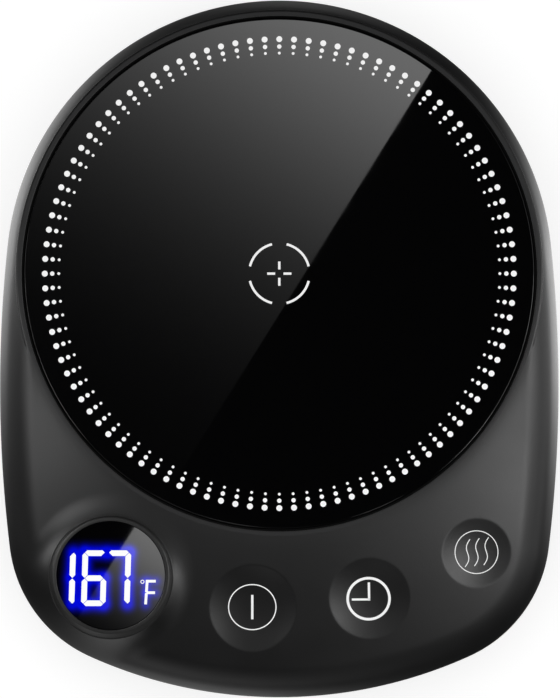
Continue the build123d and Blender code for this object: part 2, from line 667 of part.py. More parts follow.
def fuse_clip():
    """Sprung saddle that holds the thermal fuse up against the retaining plate."""
    x, y, z, width = FUSE_X, FUSE_Y, PLATE_Z - FUSE_R, 5.0
    saddle = Pos(x, y, z) * Rot(90, 0, 0) * (Cylinder(FUSE_R + STRIP_T, width) - Cylinder(FUSE_R, width))
    for side in (-1, 1):
        saddle += block(x + side * (FUSE_R + STRIP_T / 2), y, z, STRIP_T, width, FUSE_R)
    saddle -= block(x, y, z, 2 * FUSE_R, width + 1.0, 3.0)
    for side in (-1, 1):
        saddle += block(x + side * (FUSE_R + 2.4), y, PLATE_Z - STRIP_T, 4.0, width, STRIP_T)
    return saddle


def heater_leads():
    """Two sleeved leads from the heater tails to the terminal block."""
    entry_y = POWER_MID_Y - 21.5
    entry_z = POWER_TOP_Z + 2.5
    leads = []
    for side, target in ((-1, -6.0), (1, 4.0)):
        top = (side * TAIL_X, HEAT_Y - TAIL_R, TRACK_Z)
        drop = (side * TAIL_X, HEAT_Y - TAIL_R, entry_z + 0.6)
        ahead = (target, entry_y - 9.0, entry_z)
        leads += [wire([top, drop, ahead, (target, POWER_MID_Y - 19.0, entry_z)], 0.9, [3.0, 1.8])]
    return leads


def sensor_lead():
    """Flat lead from the thermistor forward to the control board."""
    lead_r, run_z, plug_z = 0.8, PLATE_Z - 2.4, CONTROL_Z - 1.3
    path = [(0, HEAT_Y - 2.0, run_z), (0, HEAT_Y - 43.0, run_z), (9.0, HEAT_Y - 54.0, plug_z),
            (9.0, HEAT_Y - 59.1, plug_z)]
    return wire(path, lead_r, [6.0, 5.0])


def lead_connector():
    """Plug and header under the control board, where the sensor lead ends."""
    return block(9.0, HEAT_Y - 60.6, CONTROL_Z - 2.6, 6.0, 3.0, 2.6)


def board_link():
    """Lead that feeds the control board from the power board."""
    x, start_y, end_y, run_z = -11.0, POWER_MID_Y - 19.0, HEAT_Y - 62.0, POWER_TOP_Z + 3.5
    path = [(x, start_y, POWER_TOP_Z), (x, start_y, run_z), (x, end_y, run_z), (x, end_y, CONTROL_Z)]
    return wire(path, 1.2, [2.0, 2.0])


def cord_clamp():
    """Bar that bridges the cord's way in and holds it down."""
    bar = block(0, CLAMP_Y, CLAMP_Z, 2 * CLAMP_X + 7.0, 6.0, CLAMP_T)
    bar = fillet(bar.edges().filter_by(Axis.Z), 2.0)
    for side in (-1, 1):
        bar -= post(side * CLAMP_X, CLAMP_Y, CLAMP_Z - 1, 1.4, 4.0)
    return bar


def clamp_screw(side):
    top = CLAMP_Z + CLAMP_T
    return Pos(0, 0, 2 * top) * mirror(screw(side * CLAMP_X, CLAMP_Y, top, 2.2, 1.3, 1.05, 7.0), Plane.XY)


# ---- assembly ----

upper = upper_housing()
cover = base_cover()

assembly = {
    "upper_housing": [upper],
    "base_cover": [cover],
    "rubber_feet": [rubber_foot(x, y) for x, y in FOOT_SPOTS],
    "case_screws": [case_screw(x, y) for x, y in CASE_SPOTS],
    "cord_gland": [cord_gland([upper, cover])],
    "glass_plate": [glass_plate()],
    "plate_gasket": [plate_gasket()],
    "heat_spreader": [heat_spreader()],
    "upper_mica": [mica_sheet(UPPER_MICA_Z, holed=False)],
    "heater_track": [heater_track()],
    "lower_mica": [mica_sheet(LOWER_MICA_Z, holed=True)],
    "insulation_pad": [insulation_pad()],
    "retaining_plate": [retaining_plate()],
    "plate_screws": [plate_screw(angle) for angle in range(0, 360, 90)],
    "display_bezel": [display_bezel()],
    "display_lens": [display_lens()],
    "display_module": [display_module()],
    "control_board": [control_board()],
    "control_board_screws": [board_screw(*spot) for spot in BOARD_SPOTS],
    "touch_springs": [touch_spring(x, ahead) for x, ahead, _ in WELLS.values()],
    "microcontroller": [microcontroller()],
    "buzzer": [buzzer()],
    "power_board": [power_board()],
    "power_board_screws": [power_screw(x, y) for x, y in power_spots()],
    "relay": [relay()],
    "transformer": [transformer()],
    "smoothing_capacitor": [smoothing_capacitor()],
    "film_capacitor": [film_capacitor()],
    "board_fuse": [board_fuse()],
    "terminal_block": [terminal_block()],
    "thermistor": [thermistor()],
    "thermistor_clip": [thermistor_clip()],
    "thermal_fuse": [thermal_fuse()],
    "fuse_clip": [fuse_clip()],
    "heater_leads": heater_leads(),
    "sensor_lead": [sensor_lead()],
    "lead_connector": [lead_connector()],
    "board_link": [board_link()],
    "cord_clamp": [cord_clamp()],
    "clamp_screws": [clamp_screw(side) for side in (-1, 1)],
}

for name, pieces in assembly.items():
    solids = [solid for piece in pieces for solid in piece.solids()]
    export_step(Compound(children=solids), f"parts/{name}.step")
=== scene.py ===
from math import asin, atan2, cos, hypot, pi, radians, sin, sqrt, tan

import bmesh
import bpy
import numpy as np
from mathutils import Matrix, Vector
from mathutils.geometry import delaunay_2d_cdt
from mathutils.kdtree import KDTree


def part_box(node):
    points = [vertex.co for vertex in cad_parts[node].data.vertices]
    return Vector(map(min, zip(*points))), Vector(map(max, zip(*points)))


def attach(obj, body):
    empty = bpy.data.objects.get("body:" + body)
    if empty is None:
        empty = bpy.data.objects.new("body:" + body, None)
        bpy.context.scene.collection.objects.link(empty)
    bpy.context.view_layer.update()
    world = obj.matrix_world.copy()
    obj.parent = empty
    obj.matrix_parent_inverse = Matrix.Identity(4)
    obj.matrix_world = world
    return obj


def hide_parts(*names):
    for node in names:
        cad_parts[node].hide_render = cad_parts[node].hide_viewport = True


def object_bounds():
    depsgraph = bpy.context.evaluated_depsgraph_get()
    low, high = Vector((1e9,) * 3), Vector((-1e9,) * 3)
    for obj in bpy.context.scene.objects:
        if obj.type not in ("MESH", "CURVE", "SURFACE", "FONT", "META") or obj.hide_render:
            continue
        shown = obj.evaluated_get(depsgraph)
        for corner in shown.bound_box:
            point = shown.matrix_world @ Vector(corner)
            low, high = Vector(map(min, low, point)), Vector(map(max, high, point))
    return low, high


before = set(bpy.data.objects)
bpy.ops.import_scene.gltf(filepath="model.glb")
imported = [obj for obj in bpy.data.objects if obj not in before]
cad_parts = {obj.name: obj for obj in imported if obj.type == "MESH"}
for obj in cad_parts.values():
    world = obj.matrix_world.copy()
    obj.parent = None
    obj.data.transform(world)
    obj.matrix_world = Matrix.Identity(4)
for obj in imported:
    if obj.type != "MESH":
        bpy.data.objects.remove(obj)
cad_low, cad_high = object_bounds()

mm = 0.001

# ---------------------------------------------------------------- camera
# The camera hangs straight above the warmer on a long lens, so that the walls hardly show.
# Its picture is 560 by 698, and takes in 150.2 mm of the object from front to back.
PICTURE_HIGH = 698
PIXEL = 0.2152 * mm
SHARP_Z = 18 * mm                   # the height at which a pixel spans exactly that
CAMERA_X, CAMERA_Y, CAMERA_Z = 0.15 * mm, 0.0, 5.0
SENSOR = 36.0


def linked(name, data):
    """A new object of that data, linked to the scene."""
    thing = bpy.data.objects.new(name, data)
    bpy.context.scene.collection.objects.link(thing)
    return thing


camera = linked("camera", bpy.data.cameras.new("camera"))
bpy.context.scene.camera = camera
camera.location = (CAMERA_X, CAMERA_Y, CAMERA_Z)
camera.data.sensor_fit = "VERTICAL"
camera.data.sensor_height = SENSOR
camera.data.lens = SENSOR * (CAMERA_Z - SHARP_Z) / (PIXEL * PICTURE_HIGH)
bpy.context.scene.view_settings.view_transform = "Standard"


# ---------------------------------------------------------------- floor and light
# A plain pale table in a softly lit room. Small lamps, soft windows and bright spots on the table are
# seen by glossy surfaces alone and give the deck and its edges their sheen. Two lit cards hang level
# overhead, and the black glass and the lens mirror them as bright fields with slanting edges.
FLOOR_SIZE = 12.0
TABLE_GREY, TABLE_GLOW = (0.4, 0.4, 0.4, 1.0), 0.68
TABLE_SHEEN = 0.03                  # what the glossy edges mirror of the table, away from its bright spots
TABLE_SPOTS = {                     # x, y, size and strength of the spots that the edges mirror
    "right": (103 * mm, 13 * mm, 36 * mm, 6.2),
    "left": (-106 * mm, 36 * mm, 40 * mm, 5.4),
    "rear_left": (-80 * mm, 73 * mm, 30 * mm, 1.0),
    "rear": (8 * mm, 115 * mm, 30 * mm, 0.6),
    "front": (-25 * mm, -113 * mm, 36 * mm, 1.1),
}
WINDOWS = {                         # bearing, rise, narrowness and strength of what the deck mirrors
    "right_high": (0.0, 0.65, 12, 2.9),
    "right": (6.0, 0.18, 12, 3.2),
    "front": (250.0, 0.2, 12, 1.5),
    "front_high": (252.0, 0.5, 12, 0.7),
    "left": (158.0, 0.12, 40, 9.5),
    "rear_left": (120.0, 0.15, 12, 1.5),
}
WINDOW_HIGH = 0.25
SHEENS = {                          # x, y, z, size and watts of lamps that only glossy surfaces answer to
    "sheen_right_back": (96 * mm, 0.0, 100 * mm, 34 * mm, 0.0203),
    "sheen_right_middle": (72 * mm, -24 * mm, 100 * mm, 34 * mm, 0.0116),
    "sheen_right_front": (72 * mm, -48 * mm, 100 * mm, 34 * mm, 0.0108),
    "sheen_right_high": (96 * mm, -64 * mm, 160 * mm, 34 * mm, 0.0245),
    "sheen_deck_right": (26 * mm, -46 * mm, 100 * mm, 16 * mm, 0.00185),
    "sheen_deck_left": (-12 * mm, -50 * mm, 100 * mm, 16 * mm, 0.0012),
    "sheen_left_front": (-72 * mm, -60 * mm, 100 * mm, 34 * mm, 0.0025),
    "sheen_left_middle": (-72 * mm, -24 * mm, 100 * mm, 34 * mm, 0.0149),
    "sheen_left_back": (-96 * mm, 0.0, 100 * mm, 34 * mm, 0.0122),
    "sheen_left_low": (-105 * mm, 20 * mm, 55 * mm, 34 * mm, 0.005),
}
SHEEN_AIM_X, SHEEN_AHEAD, SHEEN_AIM_Z = 0.55, 10 * mm, 20 * mm      # x as a share of the lamp's


class Nodes:
    """Short way to fill a material, world or geometry tree with linked nodes."""

    def __init__(self, tree):
        self.tree = tree
        tree.nodes.clear()

    def add(self, kind, inputs, **settings):
        node = self.tree.nodes.new(kind)
        for name, value in settings.items():
            setattr(node, name, value)
        for name, value in inputs.items():
            if isinstance(value, bpy.types.NodeSocket):
                self.tree.links.new(value, node.inputs[name])
            else:
                node.inputs[name].default_value = value
        return node

    def outputs(self, kind):
        """The outputs of a node without inputs."""
        return self.add(kind, {}).outputs

    def math(self, operation, *values):
        return self.add("ShaderNodeMath", dict(enumerate(values)), operation=operation).outputs[0]

    def times(self, one, two):
        return self.math("MULTIPLY", one, two)

    def vector(self, operation, *values):
        """A sum with vectors. A length or a dot product comes back as a number."""
        node = self.add("ShaderNodeVectorMath", dict(enumerate(values)), operation=operation)
        return node.outputs["Value" if operation in ("LENGTH", "DOT_PRODUCT") else "Vector"]

    def between(self, share, low, high, start=0.0, end=1.0):
        """A value that runs from low to high while the share runs from start to end."""
        sizes = {"Value": share, "From Min": start, "From Max": end, "To Min": low, "To Max": high}
        return self.add("ShaderNodeMapRange", sizes).outputs["Result"]

    def fading(self, away, power):
        """A share that is 1 at no distance and falls off with its power."""
        return self.math("EXPONENT", self.times(self.math("POWER", away, power), -1.0))


class Lighting(Nodes):
    """The tree of a material that sheds light. place is where a point lies on its piece."""

    def __init__(self, name):
        self.material = bpy.data.materials.new(name)
        self.material.use_nodes = True
        super().__init__(self.material.node_tree)
        self.place = self.outputs("ShaderNodeTexCoord")["Object"]

    def reach(self, x, y):
        """How far a point lies from the upright axis through x, y."""
        centred = self.vector("SUBTRACT", self.place, (x, y, 0.0))
        return self.vector("LENGTH", self.vector("MULTIPLY", centred, (1, 1, 0)))

    def ended(self, kind, inputs):
        """Ends the tree with a shader of that kind, and gives the material."""
        self.add("ShaderNodeOutputMaterial", {"Surface": self.add(kind, inputs).outputs[0]})
        return self.material


def flat_piece(name, corners, material):
    mesh = bpy.data.meshes.new(name)
    mesh.from_pydata(corners, [], [list(range(len(corners)))])
    mesh.materials.append(material)
    piece = linked(name, mesh)
    return piece


paper = Lighting("white_table")
path = paper.outputs("ShaderNodeLightPath")
direct = paper.math("MAXIMUM", path["Is Camera Ray"], path["Is Transmission Ray"])
diffuse = paper.add("ShaderNodeBsdfDiffuse", {"Color": TABLE_GREY})
glow = paper.add("ShaderNodeEmission", {"Strength": paper.times(direct, TABLE_GLOW)})
paint = paper.add("ShaderNodeAddShader", {0: diffuse.outputs[0], 1: glow.outputs[0]})
level = TABLE_SHEEN
for x, y, size, strength in TABLE_SPOTS.values():
    spot = paper.fading(paper.math("DIVIDE", paper.reach(x, y), size), 2.0)
    level = paper.math("ADD", level, paper.times(spot, strength))
mirrored = paper.add("ShaderNodeEmission", {"Strength": level})
sides = {0: path["Is Glossy Ray"], 1: paint.outputs[0], 2: mirrored.outputs[0]}
half = FLOOR_SIZE / 2
flat_piece("floor", [(-half, -half, 0), (half, -half, 0), (half, half, 0), (-half, half, 0)],
           paper.ended("ShaderNodeMixShader", sides))

world = bpy.data.worlds.new("room")
bpy.context.scene.world = world
world.use_nodes = True
room = Nodes(world.node_tree)
toward = room.outputs("ShaderNodeTexCoord")["Generated"]
rise = room.add("ShaderNodeSeparateXYZ", {0: toward}).outputs["Z"]
bearing = room.vector("NORMALIZE", room.vector("MULTIPLY", toward, (1, 1, 0)))
lit = 0.0
for turn, height, narrow, strength in WINDOWS.values():
    facing = room.vector("DOT_PRODUCT", bearing, (cos(radians(turn)), sin(radians(turn)), 0))
    sideways = room.math("POWER", room.math("MAXIMUM", facing, 0.0), narrow)
    off = room.math("ABSOLUTE", room.math("SUBTRACT", rise, height))
    upright = room.between(off, strength, 0.0, 0.0, WINDOW_HIGH)
    lit = room.math("ADD", lit, room.times(sideways, upright))
path = room.outputs("ShaderNodeLightPath")
direct = room.math("MAXIMUM", path["Is Camera Ray"], path["Is Transmission Ray"])
level = room.math("ADD", room.times(lit, path["Is Glossy Ray"]), direct)
level = room.math("ADD", level, path["Is Diffuse Ray"])
sky = room.add("ShaderNodeBackground", {"Color": (1, 1, 1, 1), "Strength": level})
room.add("ShaderNodeOutputWorld", {"Surface": sky.outputs[0]})

for name, (x, y, z, size, watts) in SHEENS.items():
    lamp = linked(name, bpy.data.lights.new(name, "AREA"))
    lamp.data.shape, lamp.data.size, lamp.data.energy = "DISK", size, watts
    lamp.location = (x, y, z)
    aim = Vector((SHEEN_AIM_X * x, min(y, 0) - SHEEN_AHEAD, SHEEN_AIM_Z)) - Vector((x, y, z))
    lamp.rotation_euler = aim.to_track_quat("-Z", "Y").to_euler()
    lamp.visible_camera = lamp.visible_diffuse = False


def card(name, height, surface_z, start, along, across, length, width, strength, fade, power):
    """Lit card overhead, placed by where its mirror image shall lie on a level surface.

    start is a point of the surface, along and across are directions on it, and the light fades along it.
    """
    reach = 1 + (height - surface_z) / (CAMERA_Z - surface_z)
    eye = Vector((CAMERA_X, CAMERA_Y))
    start, along, across = Vector(start), Vector(along), Vector(across)
    end, side = start + along * length, across * width
    corners = [(*(eye + (corner - eye) * reach), height)
               for corner in (start, end, end + side, start + side)]
    light = Lighting(name)
    run = light.vector("DOT_PRODUCT", light.vector("SUBTRACT", light.place, corners[0]), (*along, 0))
    share = light.math("MAXIMUM", light.math("DIVIDE", run, fade * reach), 0.0)
    falling = light.times(light.fading(share, power), strength)
    piece = flat_piece(name, corners, light.ended("ShaderNodeEmission", {"Strength": falling}))
    piece.visible_camera = piece.visible_diffuse = piece.visible_transmission = piece.visible_shadow = False


# ---------------------------------------------------------------- upper housing
# One ABS moulding with a fine spark-eroded grain: a crowned deck that rolls over into leaning walls,
# a flat rim round the plate, three wells for the touch keys, and a hollow flare up to the display.
# Inside it has a ledge, screw bosses and touch pads. Four screws hold it from below.
HEAT_Y = sum(corner.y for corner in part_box("glass_plate")) / 2
HEAT = (0.0, HEAT_Y)
REAR_R, SIDE_R, CORNER_R, FRONT_R = 58.7 * mm, 307.0 * mm, 29.6 * mm, 100.0 * mm
WIDEST_AHEAD, NOSE = 26.5 * mm, 91.7 * mm
LEAN_ANGLE = radians(8)
LEAN = tan(LEAN_ANGLE)
WIDEST_Z, PARTING_Z, LAND_Z = 16.4 * mm, 9.0 * mm, 25.0 * mm
CROWN_R, FLUSH_R, EDGE_R, WALL = 542.0 * mm, 57.2 * mm, 8.0 * mm, 2.2 * mm
CROWN_Z = LAND_Z - sqrt(CROWN_R**2 - FLUSH_R**2)
RIM_R = 56.7 * mm
RIM_EASE_R, RIM_DROP = 56.2 * mm, 0.15 * mm     # the rim's outer edge is eased from here
CREASE = (56.85 * mm, 57.5 * mm, 0.15 * mm)     # where the rolled edge runs up to the rim
LIP_EASE, LIP_DROP = 0.25 * mm, 0.09 * mm
SEAT_R, SEAT_Z = 55.4 * mm, 21.3 * mm
LEDGE_R, LEDGE_Z = 51.5 * mm, 18.8 * mm
BEZEL_R = 13.2 * mm
BOSS = (-36.2 * mm, HEAT_Y - 65.2 * mm)
BOSS_R, FLARE_TOE_R, FLARE_SOFT = 13.4 * mm, 18.4 * mm, 0.16 * mm
BEZEL_FOOT_Z, COLUMN_Z, COLUMN_BORE_R, COLUMN_R = 19.6 * mm, 18.2 * mm, 11.8 * mm, 14.4 * mm
WELLS = {                           # x, distance ahead of the heating axis, radius
    "power": (-5.7 * mm, 71.9 * mm, 9.65 * mm),
    "timer": (19.4 * mm, 69.8 * mm, 8.9 * mm),
    "heat": (42.4 * mm, 60.0 * mm, 7.6 * mm),
}
WELL_BALL_R, WELL_SOFT, WELL_REACH = 30.0 * mm, 0.08 * mm, 2.0 * mm
TOUCH_PAD_R, TOUCH_PAD_Z = 7.0 * mm, 20.0 * mm
GLAND_NECK_R = 4.0 * mm
STEP_WALL, HAIR, MERGE, SLIVER = 0.05 * mm, 0.01 * mm, 1e-4 * mm, 1e-5 * mm
BORE_STEP, BOSS_STEP, LIP_STEP, BOWL_STEP = 0.9 * mm, 0.5 * mm, 0.45 * mm, 0.7 * mm     # between points
ABS_BLACK = (0.0055, 0.0055, 0.0057)
DULL_TONE, DULL_GLOSS = (0.023, 0.023, 0.0235), 0.2


def plan_arcs():
    """Centre, radius and end angles of each arc of the plan, anticlockwise from the right shoulder."""
    shoulder = asin(WIDEST_AHEAD / (SIDE_R - REAR_R))
    side = (-(SIDE_R - REAR_R) * cos(shoulder), HEAT_Y - WIDEST_AHEAD)
    front = (0.0, HEAT_Y - NOSE + FRONT_R)
    to_side, to_front = SIDE_R - CORNER_R, FRONT_R - CORNER_R
    run_x, run_y = front[0] - side[0], front[1] - side[1]
    span = hypot(run_x, run_y)
    along = (to_side**2 - to_front**2 + span**2) / (2 * span)
    aside = sqrt(to_side**2 - along**2)
    corner = (side[0] + (along * run_x + aside * run_y) / span,
              side[1] + (along * run_y - aside * run_x) / span)
    flank = atan2(corner[1] - side[1], corner[0] - side[0])
    toe = atan2(corner[1] - front[1], corner[0] - front[0])
    return [
        (HEAT, REAR_R, shoulder, pi - shoulder),
        ((-side[0], side[1]), SIDE_R, pi - shoulder, pi - flank),
        ((-corner[0], corner[1]), CORNER_R, pi - flank, pi - toe),
        (front, FRONT_R, pi - toe, 2 * pi + toe),
        (corner, CORNER_R, 2 * pi + toe, 2 * pi + flank),
        (side, SIDE_R, 2 * pi + flank, 2 * pi + shoulder),
    ]


def plan_points(step):
    """Points round the plan, about step apart, and the directions out of it there."""
    points, outward = [], []
    for centre, radius, start, end in plan_arcs():
        for angle in np.linspace(start, end, round(radius * (end - start) / step), endpoint=False):
            outward.append((cos(angle), sin(angle)))
            points.append((centre[0] + radius * cos(angle), centre[1] + radius * sin(angle)))
    return np.array(points), np.array(outward)


def edge_ball(plan, outward):
    """Centre and height of the ball that rounds the deck's edge, at each point of the plan."""
    height = np.full(len(plan), WIDEST_Z)
    for _ in range(30):             # the two depend on each other and settle
        inset = LEAN * (WIDEST_Z - height) + EDGE_R / cos(LEAN_ANGLE)
        centre = plan - outward * inset[:, None]
        reach = centre[:, 0] ** 2 + (centre[:, 1] - HEAT_Y) ** 2
        height = CROWN_Z + np.sqrt((CROWN_R - EDGE_R) ** 2 - reach)
    return centre, height


BALL_XY, BALL_Z = edge_ball(*plan_points(0.2 * mm))


def polar(points):
    return np.arctan2(points[:, 1], points[:, 0]), np.hypot(points[:, 0], points[:, 1])


def away_from(centre, points):
    return np.hypot(points[:, 0] - centre[0], points[:, 1] - centre[1])


def skin_height(points, depth=0.0):
    """Height of the plain rounded housing, depth below its outer face."""
    crown_r, ball_r = CROWN_R - depth, EDGE_R - depth
    height = CROWN_Z + np.sqrt(crown_r**2 - away_from(HEAT, points) ** 2)
    foot = points - (points - np.array(HEAT)) * (ball_r / crown_r)
    angle, reach = polar(foot)
    ball_angle, ball_reach = polar(BALL_XY)
    rolled = np.nonzero(reach > np.interp(angle, ball_angle, ball_reach, period=2 * pi))[0]
    for some in np.array_split(rolled, len(rolled) // 2000 + 1):      # in batches, to spare memory
        gap = (points[some, None] - BALL_XY[None]) ** 2
        rise = ball_r**2 - gap.sum(2)
        ball = np.where(rise > 0, BALL_Z + np.sqrt(np.maximum(rise, 0)), 0)
        rows, best = np.arange(len(some)), ball.argmax(1)
        before, peak, after = (ball[rows, (best + shift) % len(BALL_Z)] for shift in (-1, 0, 1))
        bend = before - 2 * peak + after
        smooth = (before > 0) & (after > 0) & (bend < 0)
        top = peak - (after - before) ** 2 / (8 * np.where(smooth, bend, 1))
        height[some] = np.where(smooth, top, peak)
    return height


def softly(lower, upper, blend):
    """The lower of two heights, with the crease between them rounded."""
    mix = np.clip(0.5 + 0.5 * (upper - lower) / blend, 0, 1)
    return upper * (1 - mix) + lower * mix - blend * mix * (1 - mix)


def bowl_height(name, points):
    """Height of the hollow of a well, a ball that sits square on the crowned deck."""
    x, ahead, radius = WELLS[name]
    foot = Vector((x, HEAT_Y - ahead, CROWN_Z + sqrt(CROWN_R**2 - x**2 - ahead**2)))
    upright = (foot - Vector((0, HEAT_Y, CROWN_Z))).normalized()
    ball = foot + upright * sqrt(WELL_BALL_R**2 - radius**2)
    return ball.z - np.sqrt(np.maximum(WELL_BALL_R**2 - away_from(ball, points) ** 2, 0))


def deck_height(points):
    """Height of the finished deck, with the flare, the flat rim and the wells."""
    height = skin_height(points)
    away = away_from(BOSS, points)
    swept = (away < FLARE_TOE_R) & (away > 0.5 * BOSS_R)
    collar = np.array(BOSS) + (points[swept] - np.array(BOSS)) * (BOSS_R / away[swept, None])
    climb = np.clip((FLARE_TOE_R - away[swept]) / (FLARE_TOE_R - BOSS_R), 0, 1) ** 2
    height[swept] += climb * (LAND_Z - skin_height(collar))
    height = softly(height, LAND_Z, FLARE_SOFT)
    height[away < BOSS_R + HAIR] = LAND_Z
    for name, (x, ahead, radius) in WELLS.items():
        near = away_from((x, HEAT_Y - ahead), points) < radius + WELL_REACH
        height[near] = softly(height, bowl_height(name, points), WELL_SOFT)[near]
    reach = away_from(HEAT, points)
    outer = RIM_DROP * np.clip((reach - RIM_EASE_R) / (RIM_R - RIM_EASE_R), 0, 1) ** 2
    inner = LIP_DROP * np.clip(1 - (reach - SEAT_R) / LIP_EASE, 0, 1) ** 2
    return np.where(reach < RIM_R, np.maximum(height, LAND_Z - outer), height) - inner


def about_heat(radius, degrees):
    return (radius * cos(radians(degrees)), HEAT_Y + radius * sin(radians(degrees)))


CASE_SPOTS = [(40.6 * mm, HEAT_Y + 31.7 * mm), (-40.6 * mm, HEAT_Y + 31.7 * mm),
              (21.0 * mm, HEAT_Y - 81.0 * mm), (-21.0 * mm, HEAT_Y - 81.0 * mm)]
BOARD_SPOTS = [about_heat(64.0 * mm, 217), about_heat(62.5 * mm, 254),
               about_heat(62.5 * mm, 296), about_heat(64.0 * mm, 326)]
PLATE_SPOTS = [about_heat(52.5 * mm, degrees) for degrees in range(0, 360, 90)]
POSTS = [                           # centres, radius and foot of the post, radius and top of its screw hole
    (CASE_SPOTS, 4.2 * mm, 9.6 * mm, 1.35 * mm, 17.6 * mm),
    (BOARD_SPOTS, 2.6 * mm, 14.6 * mm, 0.95 * mm, 18.6 * mm),
    (PLATE_SPOTS, 3.2 * mm, 17.8 * mm, 1.1 * mm, 20.4 * mm),
]
INSIDE_STEPS = [(HEAT, RIM_R, LEDGE_Z), (BOSS, COLUMN_R, COLUMN_Z)]      # centre, radius, foot
INSIDE_STEPS += [((x, HEAT_Y - ahead), TOUCH_PAD_R, TOUCH_PAD_Z) for x, ahead, _ in WELLS.values()]
INSIDE_STEPS += [(spot, radius, foot) for spots, radius, foot, _, _ in POSTS for spot in spots]
SCREW_HOLES = [(spot, radius, top) for spots, _, _, radius, top in POSTS for spot in spots]


def inside_height(points):
    """Height of the housing's inner face, seen from below, with its ledge, posts and screw holes."""
    height = skin_height(points, WALL)
    for centre, radius, foot in INSIDE_STEPS:
        inside = away_from(centre, points) < radius + HAIR
        height[inside] = np.minimum(height[inside], foot)
    for centre, radius, top in SCREW_HOLES:
        height[away_from(centre, points) < radius + HAIR] = top
    return height


def about(centre, radius, angle):
    """Points round a centre, at those angles."""
    return np.column_stack([centre[0] + radius * np.cos(angle), centre[1] + radius * np.sin(angle)])


def turns(count):
    """Angles of that many even steps round a circle."""
    return np.arange(count) / count * 2 * pi


def ring(centre, radius, step):
    """Points round a circle, about step apart."""
    return about(centre, radius, turns(max(12, round(2 * pi * radius / step))))


def rings(centre, radii, step):
    return [ring(centre, radius, step) for radius in radii]


def honeycomb(pitch):
    """Even points over the whole plan."""
    rows = np.arange(cad_low.y, cad_high.y, pitch * sqrt(3) / 2)
    columns = np.arange(cad_low.x, cad_high.x, pitch)
    return np.array([(x + (row % 2) * pitch / 2, y) for row, y in enumerate(rows) for x in columns])


def plan_sheet(border, holes, edges, clouds):
    """Triangles over the plan inside the border and outside the holes.

    holes and edges are circles of points that stay as edges. clouds are (gap, lists of points), each list
    thinned to its gap from what is there already. Gives points, faces, and the loops of border and holes.
    """
    border_angle, border_reach = polar(border)
    round_holes = [(loop.mean(0), away_from(loop.mean(0), loop).mean()) for loop in holes]

    def within(points, margin):
        angle, reach = polar(points)
        keep = reach < np.interp(angle, border_angle, border_reach, period=2 * pi) - margin
        for centre, radius in round_holes:
            keep &= away_from(centre, points) > radius + margin
        return keep

    points, links = [], []
    for order, loop in enumerate([border, *holes, *edges]):
        first, inside = len(points), within(loop, 2 * HAIR)
        whole = order <= len(holes)
        for number in range(len(loop)):
            after = (number + 1) % len(loop)
            if whole or (inside[number] and inside[after]):
                links.append((first + number, first + after))
        points.extend(loop if whole else np.where(inside[:, None], loop, loop[inside.argmax()]))
    for gap, cloud in [(gap, cloud) for gap, some in clouds for cloud in some]:
        tree = KDTree(len(points))
        for number, point in enumerate(points):
            tree.insert((*point, 0), number)
        tree.balance()
        cloud = cloud[within(cloud, gap)]
        points.extend(point for point in cloud if tree.find((*point, 0))[2] > gap)
    flat, _, faces, sources, _, _ = delaunay_2d_cdt([Vector(p) for p in points], links, [], 0, 1e-9)
    flat, faces = np.array([p[:] for p in flat]), np.array(faces)
    faces = faces[within(flat[faces].mean(1), 0)]
    place = {source: number for number, found in enumerate(sources) for source in found}
    loops, first = [], 0
    for loop in (border, *holes):
        loops.append([place[first + number] for number in range(len(loop))])
        first += len(loop)
    return flat, faces, loops


class Shape:
    """Points and faces of a piece, gathered before they become its mesh."""

    def __init__(self):
        self.points, self.faces = [], []

    def add(self, points, height=None):
        """Adds points, or points of the plan at a height or heights, and gives their numbers."""
        if height is not None:
            points = np.column_stack([points, np.broadcast_to(height, len(points))])
        first = len(self.points)
        self.points.extend(tuple(map(float, point)) for point in points)
        return list(range(first, len(self.points)))

    def sheet(self, points, height, faces, loops):
        """Adds a sheet with those faces, and gives the point numbers of its loops."""
        numbers = self.add(points, height)
        self.faces += [tuple(numbers[corner] for corner in face) for face in faces]
        return [[numbers[corner] for corner in loop] for loop in loops]

    def skin(self, rows, closed=True):
        """Quads between successive rows of point numbers, and triangles where two of them are one point."""
        for low, high in zip(rows, rows[1:]):
            for one in range(len(low) if closed else len(low) - 1):
                two = (one + 1) % len(low)
                self.faces.append(tuple(dict.fromkeys((low[one], low[two], high[two], high[one]))))

    def piece(self, name, material, sharp=35):
        """A smooth mesh with crisp corners, its doubles merged and its faces turned outwards."""
        mesh = bpy.data.meshes.new(name)
        mesh.from_pydata(self.points, [], self.faces)
        work = bmesh.new()
        work.from_mesh(mesh)
        bmesh.ops.remove_doubles(work, verts=work.verts, dist=MERGE)
        bmesh.ops.dissolve_degenerate(work, edges=work.edges, dist=SLIVER)
        bmesh.ops.recalc_face_normals(work, faces=work.faces)
        work.to_mesh(mesh)
        work.free()
        mesh.shade_smooth()
        mesh.set_sharp_from_angle(angle=radians(sharp))
        mesh.materials.append(material)
        return linked(name, mesh)


